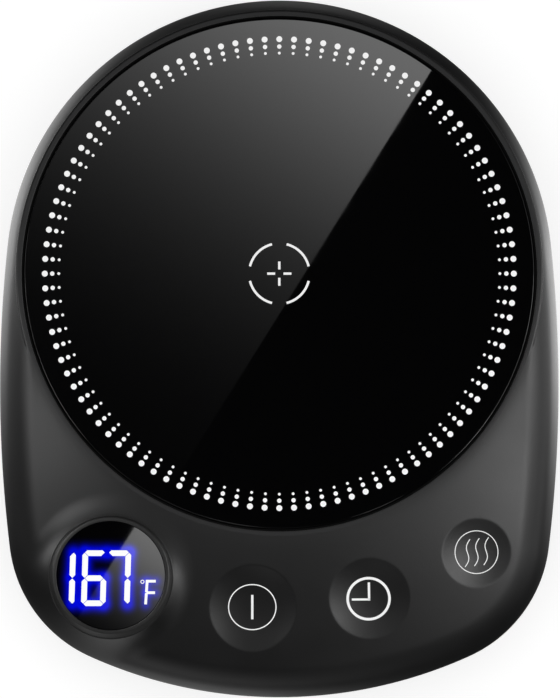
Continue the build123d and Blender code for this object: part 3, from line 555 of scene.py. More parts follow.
def housing_shape():
    plan, outward = plan_points(0.7 * mm)
    ball_xy, ball_z = edge_ball(plan, outward)
    inner_radius = EDGE_R - WALL

    def ball_row(radius, angle):
        """The rounded edge at an angle above the level, on the ball of that radius."""
        return np.column_stack([ball_xy + outward * radius * cos(angle), ball_z + radius * sin(angle)])

    def ball_rows(radius, step):
        return [ball_row(radius, radians(turn))[:, :2] for turn in range(step, 90, step)]

    def wall_row(depth):
        """Foot of the leaning wall on the parting line, arched over the cord gland at the back."""
        over_gland = np.maximum(GLAND_NECK_R**2 - plan[:, 0] ** 2, 0) * (plan[:, 1] > 0)
        foot = PARTING_Z + np.sqrt(over_gland)
        return np.column_stack([plan - outward * (LEAN * (WIDEST_Z - foot) + depth)[:, None], foot])

    bore, boss = ring(HEAT, SEAT_R, BORE_STEP), ring(BOSS, BEZEL_R, BOSS_STEP)
    rim_edge = [*np.linspace(RIM_EASE_R, RIM_R - 0.5 * STEP_WALL, 6), RIM_R + 0.5 * STEP_WALL]
    lip_edge = [SEAT_R + share * LIP_EASE for share in (0.33, 0.67, 1)]
    edges = rings(HEAT, rim_edge + lip_edge, BORE_STEP)
    edges += rings(BOSS, (BOSS_R, BOSS_R + 0.1 * mm), BOSS_STEP)
    clouds = []
    for x, ahead, radius in WELLS.values():
        centre = (x, HEAT_Y - ahead)
        lip = radius + np.arange(-0.7, 0.75, 0.1) * mm
        bowl = np.arange(radius - 1.2 * mm, 0.4 * mm, -BOWL_STEP)
        clouds.append((0.05 * mm, rings(centre, lip, LIP_STEP) + rings(centre, bowl, BOWL_STEP)))
    flare = np.arange(BOSS_R + 0.25 * mm, FLARE_TOE_R + 0.6 * mm, 0.25 * mm)
    clouds.append((0.1 * mm, rings(BOSS, flare, BOSS_STEP)))
    clouds.append((0.06 * mm, rings(HEAT, np.arange(*CREASE), LIP_STEP)))
    clouds += [(0.2 * mm, ball_rows(EDGE_R, 3)), (0.55 * mm, [honeycomb(1.0 * mm)])]
    deck, deck_faces, deck_loops = plan_sheet(ball_row(EDGE_R, 0)[:, :2], [bore, boss], edges, clouds)

    column = ring(BOSS, COLUMN_BORE_R, 2 * pi * COLUMN_BORE_R / len(boss))
    ledge = ring(HEAT, LEDGE_R, 2 * pi * LEDGE_R / len(bore))
    edges = []
    for steps, step in ((INSIDE_STEPS, 0.8 * mm), (SCREW_HOLES, 0.5 * mm)):
        for centre, radius, _ in steps:
            edges += rings(centre, (radius, radius + STEP_WALL), step)
    clouds = [(0.3 * mm, ball_rows(inner_radius, 10)), (1.2 * mm, [honeycomb(2.5 * mm)])]
    inside, inside_faces, inside_loops = plan_sheet(
        ball_row(inner_radius, 0)[:, :2], [ledge, column], edges, clouds)

    shape = Shape()
    deck_z, inside_z = deck_height(deck), inside_height(inside)
    deck_z[deck_loops[0]] = inside_z[inside_loops[0]] = ball_z
    rim, bore_top, boss_top = shape.sheet(deck, deck_z, deck_faces, deck_loops)
    inner_rim, bore_foot, boss_foot = shape.sheet(inside, inside_z, inside_faces, inside_loops)
    rolled = [shape.add(ball_row(EDGE_R, -LEAN_ANGLE * share)) for share in (0.33, 0.67, 1)]
    wall = [shape.add(row) for row in (wall_row(0), wall_row(WALL), ball_row(inner_radius, -LEAN_ANGLE))]
    shape.skin([rim, *rolled, *wall, inner_rim])
    shape.skin([bore_top, shape.add(bore, SEAT_Z), shape.add(ledge, SEAT_Z), bore_foot])
    shape.skin([boss_top, shape.add(boss, BEZEL_FOOT_Z), shape.add(column, BEZEL_FOOT_Z), boss_foot])
    return shape


class Finish(Lighting):
    """The tree of a solid piece's material, with the patterns that change its tone, gloss and relief."""

    def blend(self, share, low, high):
        """A colour between two colours or colour sockets, by the share."""
        low, high = ((*colour, 1) if isinstance(colour, tuple) else colour for colour in (low, high))
        mix = self.add("ShaderNodeMix", {"Factor": share, "A": low, "B": high}, data_type="RGBA")
        return mix.outputs["Result"]

    def shades(self, share, colour, low, high):
        """The colour, made darker or lighter by a factor that runs from low to high with the share."""
        return self.blend(share, *(tuple(part * level for part in colour) for level in (low, high)))

    def noise(self, scale, detail, place=None):
        inputs = {"Vector": place or self.place, "Scale": scale, "Detail": detail}
        return self.add("ShaderNodeTexNoise", inputs).outputs["Fac"]

    def drawn(self, scale, turn=(0, 0, 0)):
        """The place turned and scaled, which draws a pattern out."""
        mapping = {"Vector": self.place, "Rotation": turn, "Scale": scale}
        return self.add("ShaderNodeMapping", mapping).outputs[0]

    def bump(self, height, depth, strength=1.0):
        relief = {"Height": height, "Distance": depth, "Strength": strength}
        return self.add("ShaderNodeBump", relief).outputs["Normal"]

    def coated(self, colour, roughness, more):
        """Ends the tree with the usual shader, and gives the material."""
        inputs = {"Base Color": colour, "Roughness": roughness, **more}
        return self.ended("ShaderNodeBsdfPrincipled", inputs)


def grained(name, colour, roughness, grain, relief, mottle=0.12, specular=0.5, dull=None):
    """Moulded or rough finish: a fine grain in the relief, and soft clouds in tone and gloss.

    grain is the size of the grain in metres and relief its depth. dull makes a share that is 1 where the
    finish has no gloss and the tone DULL_TONE.
    """
    finish = Finish(name)
    clouds, fine = finish.noise(0.02 / grain, 3.0), finish.noise(0.5 / grain, 2.0)
    both = finish.math("ADD", clouds, finish.times(fine, 0.6))
    share = finish.between(both, 0.0, 1.0, 0.5, 1.1)
    tone = finish.shades(share, colour, 1 - mottle, 1 + mottle)
    if dull:
        matte = dull(finish)
        tone = finish.blend(matte, tone, DULL_TONE)
        specular = finish.between(matte, specular, DULL_GLOSS)
    return finish.coated(tone, finish.between(share, roughness * 0.94, roughness * 1.06),
                         {"Normal": finish.bump(fine, relief), "Specular IOR Level": specular})


def on_land(finish):
    """1 on the flat ring round the plate, which is blasted dull."""
    return finish.math("LESS_THAN", finish.reach(*HEAT), RIM_EASE_R + 0.1 * mm)


housing_plastic = grained("matte_black_abs", ABS_BLACK, 0.42, 0.25 * mm, 0.010 * mm, dull=on_land)
housing = housing_shape().piece("upper_housing_shell", housing_plastic)
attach(housing, "root")
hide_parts("upper_housing")

# ---------------------------------------------------------------- glass heating plate
# A 3 mm disc of black toughened glass with a polished bevel. It lies in a silicone seal on the ledge,
# and carries a ring of white dots and a small centring mark, both fired on as thin ceramic ink.
GLASS_LOW, GLASS_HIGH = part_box("glass_plate")
GLASS_R, GLASS_TOP = (GLASS_HIGH.x - GLASS_LOW.x) / 2, GLASS_HIGH.z
GLASS_BEVEL, EDGE_SOFT = 0.33 * mm, 0.06 * mm
GLASS_BLACK, INK_WHITE = (0.0012, 0.0012, 0.0013), (0.9, 0.9, 0.9)
INK = 0.02 * mm
DOT_SIDES = 20
DOT_SIZES = {                       # short rays of three dots, which shrink towards the middle
    "Rays": 100, "Ray 1": 50.4 * mm, "Dot 1": 0.64 * mm, "Ray 2": 48.8 * mm, "Dot 2": 0.47 * mm,
    "Ray 3": 47.4 * mm, "Dot 3": 0.305 * mm, "Ink": INK, "Centre Y": HEAT_Y, "Level": GLASS_TOP,
}
MARK_R, MARK_GAP, MARK_STROKE, TICK = 6.5 * mm, 14, 0.5 * mm, (0.9 * mm, 2.6 * mm)
PLATE_SIDES = 256


def turned(shape, profile, centre, count):
    """Adds a ring of quads for a closed profile of (radius, height), or a cap where the radius is 0.

    The centre may be one point, or one for each point of the profile.
    """
    centres = [centre] * len(profile) if isinstance(centre[0], float) else centre
    rows = []
    for (radius, height), middle in zip(profile, centres):
        points = about(middle, radius, turns(count))
        rows.append(shape.add(points, height) if radius else shape.add(points[:1], height) * count)
    shape.skin(rows)


def rounded(profile, radius, steps=4):
    """The profile with its inner corners rounded, by a curve of a few points each."""
    result = [profile[0]]
    for before, corner, after in zip(profile, profile[1:], profile[2:]):
        corner = Vector(corner)
        start, end = (Vector(other) - corner for other in (before, after))
        cut = min(radius, start.length * 0.45, end.length * 0.45)
        start, end = corner + start.normalized() * cut, corner + end.normalized() * cut
        for step in range(steps + 1):
            share = step / steps
            bend = corner * 2 * share * (1 - share)
            result.append(tuple(start * (1 - share) ** 2 + bend + end * share**2))
    return result + [profile[-1]]


def polished(name, colour, roughness, smear, polished_r):
    """Glass with faint wipe marks that change its gloss but not its colour, ground rough at its edge."""
    finish = Finish(name)
    wipes, specks = finish.noise(24.0, 5.0, finish.drawn((1, 6, 1), (0, 0, 0.6))), finish.noise(900.0, 1.0)
    gloss = finish.between(wipes, roughness, roughness + smear, 0.35, 0.75)
    ground = finish.math("GREATER_THAN", finish.reach(*HEAT), polished_r)
    return finish.coated(finish.shades(specks, colour, 0.7, 1.3),
                         finish.math("ADD", gloss, finish.times(ground, 0.6)),
                         {"IOR": 1.5, "Specular IOR Level": finish.between(ground, 0.5, 0.02)})


glass_edge = [(GLASS_R - 2 * mm, GLASS_LOW.z), (GLASS_R, GLASS_LOW.z), (GLASS_R, GLASS_TOP - GLASS_BEVEL),
              (GLASS_R - GLASS_BEVEL, GLASS_TOP), (GLASS_R - 2 * mm, GLASS_TOP)]
glass_profile = rounded(glass_edge, EDGE_SOFT)
glass_profile.insert(-1, (GLASS_R - GLASS_BEVEL - EDGE_SOFT - 0.05 * mm, GLASS_TOP))
glass_shape = Shape()
turned(glass_shape, [(0, GLASS_LOW.z), *glass_profile, (0, GLASS_TOP)], HEAT, PLATE_SIDES)
black_glass = polished("black_glass", GLASS_BLACK, 0.004, 0.008, GLASS_R - GLASS_BEVEL + EDGE_SOFT)
glass = glass_shape.piece("glass_disc", black_glass, sharp=50)
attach(glass, "root")
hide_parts("glass_plate")


def dot_rays(name, sizes, material):
    """A plain mesh piece of printed dots, made by one geometry tree that has the sizes as its inputs."""
    tree = bpy.data.node_groups.new("dot_rays", "GeometryNodeTree")
    for way in ("INPUT", "OUTPUT"):
        tree.interface.new_socket("Geometry", in_out=way, socket_type="NodeSocketGeometry")
    keys = {}
    for size, value in sizes.items():
        kind = "NodeSocketInt" if isinstance(value, int) else "NodeSocketFloat"
        keys[size] = tree.interface.new_socket(size, in_out="INPUT", socket_type=kind).identifier
    nodes = Nodes(tree)
    group = nodes.outputs("NodeGroupInput")
    joined = nodes.add("GeometryNodeJoinGeometry", {})
    for number in "321":
        circle = {"Vertices": group["Rays"], "Radius": group["Ray " + number]}
        disc = {"Vertices": DOT_SIDES, "Radius": group["Dot " + number], "Depth": group["Ink"]}
        places = nodes.add("GeometryNodeMeshCircle", circle).outputs["Mesh"]
        dot = nodes.add("GeometryNodeMeshCylinder", disc).outputs["Mesh"]
        dots = nodes.add("GeometryNodeInstanceOnPoints", {"Points": places, "Instance": dot})
        tree.links.new(dots.outputs["Instances"], joined.inputs["Geometry"])
    height = nodes.math("ADD", group["Level"], nodes.times(group["Ink"], 0.5))
    spot = nodes.add("ShaderNodeCombineXYZ", {"Y": group["Centre Y"], "Z": height}).outputs[0]
    made = joined.outputs[0]
    for kind, inputs in (("Transform", {"Translation": spot}), ("RealizeInstances", {}),
                         ("SetMaterial", {"Material": material})):
        made = nodes.add("GeometryNode" + kind, {"Geometry": made, **inputs}).outputs[0]
    nodes.add("NodeGroupOutput", {"Geometry": made})

    piece = linked(name, bpy.data.meshes.new(name))
    modifier = piece.modifiers.new(name, "NODES")
    modifier.node_group = tree
    for size, value in sizes.items():
        modifier[keys[size]] = value
    grown = piece.evaluated_get(bpy.context.evaluated_depsgraph_get())
    mesh = bpy.data.meshes.new_from_object(grown)
    piece.modifiers.remove(modifier)
    piece.data = mesh
    mesh.name = name
    return piece


ink_white = grained("white_ceramic_ink", INK_WHITE, 0.5, 0.1 * mm, 0.002 * mm, mottle=0.03)
dots = dot_rays("printed_dots", DOT_SIZES, ink_white)
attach(dots, "root")


def stroke(shape, path, width, surface, thickness, closed=False):
    """A flat printed line along the path. surface is its height, or a function that gives it for points."""
    path = np.array(path, float)
    along = np.roll(path, -1, 0) - np.roll(path, 1, 0) if closed else np.gradient(path, axis=0)
    along /= np.linalg.norm(along, axis=1)[:, None]
    side = np.column_stack([-along[:, 1], along[:, 0]]) * width / 2
    rows = []
    for edge, lift in ((side, 0), (side, thickness), (-side, thickness), (-side, 0)):
        flat = path + edge
        rows.append(shape.add(flat, (surface(flat) if callable(surface) else surface) + lift))
    shape.skin([*rows, rows[0]], closed)
    if not closed:
        shape.faces += [tuple(row[0] for row in rows), tuple(row[-1] for row in rows)]


def arc(centre, radius, start, end, step=4):
    """Points along an arc, in degrees."""
    return about(centre, radius, np.radians(np.linspace(start, end, round(abs(end - start) / step) + 1)))


# Centring mark: four short arcs and a cross, to set the mug down by.
mark = Shape()
for start in range(0, 360, 90):
    quarter = arc(HEAT, MARK_R, start + MARK_GAP, start + 90 - MARK_GAP)
    stroke(mark, quarter, MARK_STROKE, GLASS_TOP, INK)
for turn in (0, 90):
    tick = np.array([cos(radians(turn)), sin(radians(turn))])
    for side in (-1, 1):
        stroke(mark, [np.array(HEAT) + side * tick * reach for reach in TICK], MARK_STROKE, GLASS_TOP, INK)
centre_mark = mark.piece("printed_centre_mark", ink_white)
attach(centre_mark, "root")

# The overhead card, now that the surface that mirrors it is known.
BEAM, ACROSS = (-0.529, -0.848), (-0.848, 0.529)
card("card_for_glass", height=2.0, surface_z=GLASS_TOP, start=(33.3 * mm, 60.9 * mm), along=BEAM,
     across=ACROSS, length=150 * mm, width=110 * mm, strength=3.4, fade=32.3 * mm, power=1.5)

# ---------------------------------------------------------------- display ring
# A moulded ring of satin black ABS that sits in the boss of the housing. Its sloping face leans, because
# the rim of the face lies a little farther back than its foot, and the lens is pressed into its rebate.
BEZEL_LOW, BEZEL_TOP = (corner.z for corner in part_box("display_bezel"))
LENS_LOW, LENS_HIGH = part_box("display_lens")
LENS = ((LENS_LOW.x + LENS_HIGH.x) / 2, (LENS_LOW.y + LENS_HIGH.y) / 2)
LENS_R, LENS_TOP, LENS_FOOT = (LENS_HIGH.x - LENS_LOW.x) / 2, LENS_HIGH.z, LENS_LOW.z
BEZEL_LIP_R, BEZEL_BORE_R, BEZEL_SOFT, BEZEL_SIDES = 12.5 * mm, 11.1 * mm, 0.14 * mm, 160
SATIN = (0.016, 0.016, 0.016)

bezel_section = [(BEZEL_BORE_R, BEZEL_LOW), (BEZEL_R, BEZEL_LOW), (BEZEL_R, LAND_Z),
                 (BEZEL_LIP_R, BEZEL_TOP), (LENS_R, BEZEL_TOP), (LENS_R, LENS_FOOT),
                 (BEZEL_BORE_R, LENS_FOOT), (BEZEL_BORE_R, BEZEL_LOW)]
bezel_profile = rounded(bezel_section, BEZEL_SOFT)
bezel_centres = []
for radius, height in bezel_profile:
    climb = np.clip((height - LAND_Z) / (BEZEL_TOP - LAND_Z), 0, 1) if radius > BEZEL_LIP_R else 1
    bezel_centres.append((LENS[0], float(BOSS[1] + (LENS[1] - BOSS[1]) * climb)))
bezel_shape = Shape()
turned(bezel_shape, bezel_profile, bezel_centres, BEZEL_SIDES)
bezel = bezel_shape.piece("display_ring", grained("satin_black_abs", SATIN, 0.34, 0.2 * mm, 0.004 * mm))
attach(bezel, "root")
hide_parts("display_bezel")

# ---------------------------------------------------------------- display numerals
# The lit faces of the light-emitting block that stands on the control board: three numerals of bar
# segments and the sign for degrees Fahrenheit. They show through the smoked lens, so they lie on its face.
DIGIT_WIDE, DIGIT_HALF, SEGMENT, SEGMENT_GAP, SLANT = 4.06 * mm, 5.38 * mm, 1.31 * mm, 0.05 * mm, 0.031
CORNER_CUT = 0.78 * SEGMENT
DIGIT_Y = HEAT_Y - 65.45 * mm
DIGITS = {"one": (-46.52 * mm, "bc"), "six": (-39.80 * mm, "acdefg"), "seven": (-34.62 * mm, "abc")}
UNIT_FOOT = (-28.73 * mm, HEAT_Y - 71.06 * mm)
UNIT_STROKE, UNIT_HIGH, UNIT_BAR, UNIT_ARM = 0.58 * mm, 4.97 * mm, 1.85 * mm, 2.5 * mm
UNIT_GAP, UNIT_SLANT = 0.08 * mm, 2.2 * SLANT
UNIT_LETTER = [                     # the lines of an F from its foot: the stem in two, the arm and the bar
    ((0, 0), (0, UNIT_ARM - UNIT_GAP)),
    ((0, UNIT_ARM + UNIT_GAP), (0, UNIT_HIGH)),
    ((0, UNIT_ARM), (UNIT_BAR, UNIT_ARM)),
    ((-UNIT_STROKE / 2, UNIT_HIGH), (UNIT_BAR, UNIT_HIGH)),
]
DEGREE, DEGREE_R, DEGREE_STROKE = (-29.41 * mm, HEAT_Y - 66.21 * mm), 0.35 * mm, 0.17 * mm
DIGIT_LIFT = 0.02 * mm
DIGIT_HALO, UNIT_HALO, DEGREE_HALO = 0.9, 0.45, 0.25       # share of blue that each sign spreads


def segment(letter):
    """Outline of one segment of a numeral, with mitred ends, about the middle of its cell."""
    x, y, half = DIGIT_WIDE / 2, DIGIT_HALF, SEGMENT / 2
    tip, cut = CORNER_CUT / 2, CORNER_CUT
    across = [(-x - half + cut, y + half), (x + half - cut, y + half), (x + half - tip, y + half - tip),
              (x - half, y - half), (-x + half, y - half), (-x - half + tip, y + half - tip)]
    upright = [(x + half, y + half - cut), (x + half - tip, y + half - tip), (x - half, y - half),
               (x - half, half), (x, 0), (x + half, half)]
    middle = [(-x + half, half), (x - half, half), (x, 0), (x - half, -half), (-x + half, -half), (-x, 0)]
    base = {"a": across, "d": across, "g": middle}.get(letter, upright)
    side, rise = -1 if letter in "ef" else 1, -1 if letter in "cde" else 1
    return [(side * px, rise * py) for px, py in base]


def shrunk(outline, gap):
    """The convex outline with every side moved in by the gap."""
    points = [Vector(point) for point in outline]
    middle = sum(points, Vector((0, 0))) / len(points)
    result = []
    for before, corner, after in zip(points[-1:] + points[:-1], points, points[1:] + points[:1]):
        sides = []
        for start, end in ((before, corner), (corner, after)):
            normal = Vector((start.y - end.y, end.x - start.x)).normalized()
            normal = normal if (middle - start).dot(normal) > 0 else -normal
            sides.append((normal, normal.dot(start) + gap))
        (one, one_at), (two, two_at) = sides
        turn = one.x * two.y - one.y * two.x
        result.append(((one_at * two.y - two_at * one.y) / turn, (one.x * two_at - two.x * one_at) / turn))
    return result


numerals = Shape()
lit = []                            # ends, half width and strength of every lit stroke, for the halo
for middle_x, letters in DIGITS.values():
    for letter in letters:
        outline = [(middle_x + x + y * SLANT, DIGIT_Y + y) for x, y in shrunk(segment(letter), SEGMENT_GAP)]
        rows = [numerals.add(outline, height) for height in (LENS_TOP, LENS_TOP + DIGIT_LIFT)]
        numerals.skin(rows)
        numerals.faces += [tuple(row) for row in rows]
        ends = sorted(outline, key=lambda point: point[0] if letter in "adg" else point[1])
        lit.append((ends[0], ends[-1], SEGMENT / 2, DIGIT_HALO))
for line in UNIT_LETTER:
    ends = [(UNIT_FOOT[0] + x + y * UNIT_SLANT, UNIT_FOOT[1] + y) for x, y in line]
    stroke(numerals, ends, UNIT_STROKE, LENS_TOP, DIGIT_LIFT)
    lit.append((*ends, UNIT_STROKE / 2, UNIT_HALO))
stroke(numerals, arc(DEGREE, DEGREE_R, 0, 360, 20)[:-1], DEGREE_STROKE, LENS_TOP, DIGIT_LIFT, closed=True)
lit.append((DEGREE, DEGREE, DEGREE_R, DEGREE_HALO))


def glowing(name, colour, uneven):
    """Light that shines through plastic: an even glow with a faint unevenness."""
    finish = Finish(name)
    glow = finish.shades(finish.noise(700.0, 2.0), colour, 1 - uneven, 1)
    return finish.coated((0.02, 0.02, 0.02, 1), 0.2, {"Emission Color": glow, "Emission Strength": 1.0})


display_digits = numerals.piece("display_numerals", glowing("numeral_light", (1.0, 1.0, 1.0), 0.06))
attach(display_digits, "root")

# ---------------------------------------------------------------- display lens
# A disc of smoked acrylic with a fine bevel, pressed into the ring. The light of the numerals spreads in
# it, and leaves a blue halo round each stroke.
LENS_BEVEL, LENS_RINGS, LENS_SPOKES = 0.15 * mm, 64, 180
HALO_REACH, HALO_FALL, HALO_SUM = 0.77 * mm, 1.6, 1.3
SMOKE, HALO_BLUE = (0.0008, 0.0008, 0.001), (0.0, 0.002, 0.68)


def smoked_lens(name):
    """Smoked acrylic: nearly black and glossy, lit blue from below where its halo attribute says."""
    finish = Finish(name)
    cloud = finish.noise(60.0, 4.0)
    halo = finish.add("ShaderNodeAttribute", {}, attribute_name="halo").outputs["Fac"]
    glow = finish.blend(halo, (0.0, 0.0, 0.0), HALO_BLUE)
    return finish.coated(finish.shades(cloud, SMOKE, 0.6, 1.4), finish.between(cloud, 0.004, 0.012),
                         {"IOR": 1.49, "Emission Color": glow, "Emission Strength": 1.0})


lens_profile = [(0, LENS_FOOT), (LENS_R, LENS_FOOT), (LENS_R, LENS_TOP - LENS_BEVEL)]
for number in range(LENS_RINGS + 1):
    lens_profile.append(((LENS_R - LENS_BEVEL) * (1 - number / LENS_RINGS), LENS_TOP))
lens_shape = Shape()
turned(lens_shape, lens_profile, LENS, LENS_SPOKES)
lens = lens_shape.piece("display_lens_disc", smoked_lens("smoked_acrylic"), sharp=30)
spots = np.array([vertex.co[:] for vertex in lens.data.vertices])
halo = np.zeros(len(spots))
for start, end, half_width, strength in lit:
    start, run = np.array(start), np.array(end) - np.array(start)
    share = np.clip((spots[:, :2] - start) @ run / max(run @ run, 1e-12), 0, 1)
    gap = np.linalg.norm(spots[:, :2] - start - share[:, None] * run, axis=1) - half_width
    halo += (strength * np.exp(-(np.maximum(gap, 0) / HALO_REACH) ** HALO_FALL)) ** HALO_SUM
halo = np.where(spots[:, 2] > LENS_TOP - HAIR, np.minimum(halo ** (1 / HALO_SUM), 1), 0)
lens.data.attributes.new("halo", "FLOAT", "POINT").data.foreach_set("value", halo.astype(np.float32))
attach(lens, "root")
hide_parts("display_lens")
card("card_for_lens", height=1.98, surface_z=LENS_TOP, start=(-30.2 * mm, HEAT_Y - 53.0 * mm),
     along=BEAM, across=(-ACROSS[0], -ACROSS[1]), length=34 * mm, width=18 * mm,
     strength=3.7, fade=12.5 * mm, power=2.0)

# ---------------------------------------------------------------- touch keys
# Each well carries a white pad-printed sign: a bar in a ring for power, a clock face for the timer and
# three rising curves for the heat. The ink follows the hollow of the well.
PRINT = 0.015 * mm
WAVE_HALF, WAVE_SWING, WAVE_LEAN, WAVE_SHIFT, WAVE_STEP = 2.97, 0.49, 0.1734, 0.085, (2.0, 0.2)
rise = np.linspace(-WAVE_HALF, WAVE_HALF, 32)
sway = WAVE_SHIFT + WAVE_LEAN * rise - WAVE_SWING * np.sin(pi * rise / WAVE_HALF)
wave = np.column_stack([sway, rise]) * mm
SIGNS = {                           # offset, radii and stroke of the ring, and lines of (points, width)
    "power": ((-0.11 * mm, 0.2 * mm), (5.1 * mm, 4.85 * mm), 0.23 * mm, [
        (np.linspace((0, -2.62 * mm), (0, 2.62 * mm), 16), 0.5 * mm)]),
    "timer": ((-0.2 * mm, -0.09 * mm), (4.5 * mm, 4.42 * mm), 0.56 * mm, [
        (np.linspace((0.12 * mm, -0.42 * mm), (0.05 * mm, 3.5 * mm), 16), 0.5 * mm),
        (np.linspace((-3.6 * mm, -0.18 * mm), (0.36 * mm, -0.16 * mm), 16), 0.46 * mm)]),
    "heat": ((0.0, 0.12 * mm), (4.62 * mm, 4.60 * mm), 0.17 * mm, [
        (wave + shift * np.array(WAVE_STEP) * mm, 0.18 * mm) for shift in (-1, 0, 1)]),
}


def key_sign(name, offset, ring_radii, ring_stroke, lines):
    """A ring and lines, printed on the hollow of a well near its middle."""
    x, ahead, _ = WELLS[name]
    shape, centre = Shape(), np.array([x, HEAT_Y - ahead]) + np.array(offset)

    def on_bowl(points):
        return bowl_height(name, points)

    circle = centre + arc((0, 0), 1, 0, 360)[:-1] * np.array(ring_radii)
    stroke(shape, circle, ring_stroke, on_bowl, PRINT, closed=True)
    for points, width in lines:
        stroke(shape, centre + points, width, on_bowl, PRINT)
    return shape


pad_print = grained("white_pad_print", INK_WHITE, 0.55, 0.15 * mm, 0.003 * mm, mottle=0.04)
for name, layout in SIGNS.items():
    sign = key_sign(name, *layout).piece(f"{name}_key_sign", pad_print)
    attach(sign, "root")

# ---------------------------------------------------------------- plate seal
# A moulded ring of black silicone that lies on the housing's ledge. The glass is bonded into it: it has a
# flat seat under the edge of the glass and a lip round it.
def dress(material, *names):
    """Gives nodes of the solid model that stay as they are their material."""
    for name in names:
        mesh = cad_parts[name].data
        mesh.materials.clear()
        mesh.materials.append(material)


silicone = grained("black_silicone", (0.002, 0.002, 0.002), 0.8, 0.3 * mm, 0.004 * mm, specular=0.1)
dress(silicone, "plate_gasket")

# ---------------------------------------------------------------- base cover
# The lower ABS moulding: a tray with vents, screw wells and a tongue that laps inside the upper housing.
# Four screws from below hold the two together.
dress(grained("matte_black_base", (0.0115, 0.0115, 0.0118), 0.5, 0.3 * mm, 0.012 * mm), "base_cover")

# ---------------------------------------------------------------- rubber feet
# Four round pads of black rubber with grip rings moulded in the sole, glued into recesses of the base
# cover near its corners.
FEET = [(side * 29.0 * mm, HEAT_Y + 35.0 * mm) for side in (1, -1)]
FEET += [(side * 38.0 * mm, HEAT_Y - 62.0 * mm) for side in (1, -1)]
FOOT_R, FOOT_TOP, FOOT_EDGE_Z, SOLE_IN = 6.0 * mm, 2.3 * mm, 0.8 * mm, 0.6 * mm
GRIP_RINGS, GRIP_PITCH, GRIP_START, GRIP_DEPTH = 4, 1.1 * mm, 0.45, 0.22 * mm
GRIP_SECTION = [(0, GRIP_DEPTH), (0.1 * mm, 0.0), (0.6 * mm, 0.0), (0.7 * mm, GRIP_DEPTH)]
FOOT_SOFT, FOOT_SIDES = 0.08 * mm, 72

sole = [(0, GRIP_DEPTH)]
for number in range(GRIP_RINGS):
    start = (number + GRIP_START) * GRIP_PITCH
    sole += [(start + along, height) for along, height in GRIP_SECTION]
sole += [(FOOT_R - SOLE_IN, GRIP_DEPTH), (FOOT_R, FOOT_EDGE_Z), (FOOT_R, FOOT_TOP), (0, FOOT_TOP)]
feet_shape = Shape()
for spot in FEET:
    turned(feet_shape, rounded(sole, FOOT_SOFT, steps=2), spot, FOOT_SIDES)
rubber = grained("black_rubber", (0.014, 0.014, 0.014), 0.72, 0.4 * mm, 0.015 * mm)
feet = feet_shape.piece("rubber_pads", rubber)
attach(feet, "root")
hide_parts("rubber_feet")


# ---------------------------------------------------------------- screws
# Pan-head steel screws: four blackened ones close the case from below, and bright zinc-plated ones hold
# the retaining plate, the boards and the cord clamp.
def metal(name, colour, roughness, grain, relief, stretch=(1, 1, 1)):
    """Bare or plated metal: fine marks change its tone, gloss and relief, and stretch draws them out."""
    finish = Finish(name)
    marks = finish.noise(0.5 / grain, 4.0, finish.drawn(stretch))
    return finish.coated(finish.shades(marks, colour, 0.82, 1),
                         finish.between(marks, roughness * 0.8, roughness * 1.25),
                         {"Metallic": 1.0, "Normal": finish.bump(marks, relief)})


dress(metal("blackened_steel", (0.05, 0.05, 0.052), 0.38, 0.3 * mm, 0.004 * mm), "case_screws")
dress(metal("bright_zinc", (0.62, 0.64, 0.66), 0.26, 0.3 * mm, 0.003 * mm),
      "plate_screws", "control_board_screws", "power_board_screws", "clamp_screws")

# ---------------------------------------------------------------- cord gland
# A flanged bush of black rubber, gripped between the two mouldings in the middle of the back wall, where
# the cord comes in.
dress(grained("gland_rubber", (0.012, 0.012, 0.012), 0.66, 0.35 * mm, 0.01 * mm), "cord_gland")


# ---------------------------------------------------------------- heater stack
# Under the glass: a turned aluminium spreader, an etched steel heating foil between two sheets of mica,
# a pad of ceramic felt, and the pressed steel plate that holds the stack up.
def turned_metal(name, colour, roughness, pitch):
    """Metal faced on a lathe: fine rings about the heating axis."""
    finish = Finish(name)
    grooves = {"W": finish.reach(*HEAT), "Scale": 1 / pitch, "Detail": 3.0}
    rings = finish.add("ShaderNodeTexNoise", grooves, noise_dimensions="1D").outputs["Fac"]
    return finish.coated(finish.shades(rings, colour, 0.85, 1),
                         finish.between(rings, roughness * 0.8, roughness * 1.3),
                         {"Metallic": 1.0, "Normal": finish.bump(rings, 0.01 * mm)})


def flaked(name, dark, light, flake, roughness, metallic, relief):
    """Flat crystals or flakes side by side, each with a tone of its own."""
    finish = Finish(name)
    drift = finish.add("ShaderNodeTexNoise", {"Vector": finish.place, "Scale": 0.4 / flake, "Detail": 2.0})
    moved = finish.vector("MULTIPLY", drift.outputs["Color"], (flake, flake, flake))
    cells = {"Vector": finish.vector("ADD", finish.place, moved), "Scale": 1 / flake}
    flakes = finish.add("ShaderNodeTexVoronoi", cells).outputs["Color"]
    tone = finish.add("ShaderNodeSeparateColor", {0: flakes}).outputs[0]
    return finish.coated(finish.blend(tone, dark, light),
                         finish.between(tone, roughness * 0.8, roughness * 1.2),
                         {"Metallic": metallic, "Normal": finish.bump(tone, relief, 0.6)})


def heat_tinted(name, bright, straw, violet):
    """Stainless foil, straw to violet where it has been hot."""
    finish = Finish(name)
    warm, rolled = finish.noise(45.0, 3.0), finish.noise(1500.0, 2.0)
    tint = finish.blend(finish.between(warm, 0, 1, 0.35, 0.55), bright, straw)
    tint = finish.blend(finish.between(warm, 0, 1, 0.55, 0.7), tint, violet)
    return finish.coated(tint, finish.between(rolled, 0.22, 0.42), {"Metallic": 1.0})


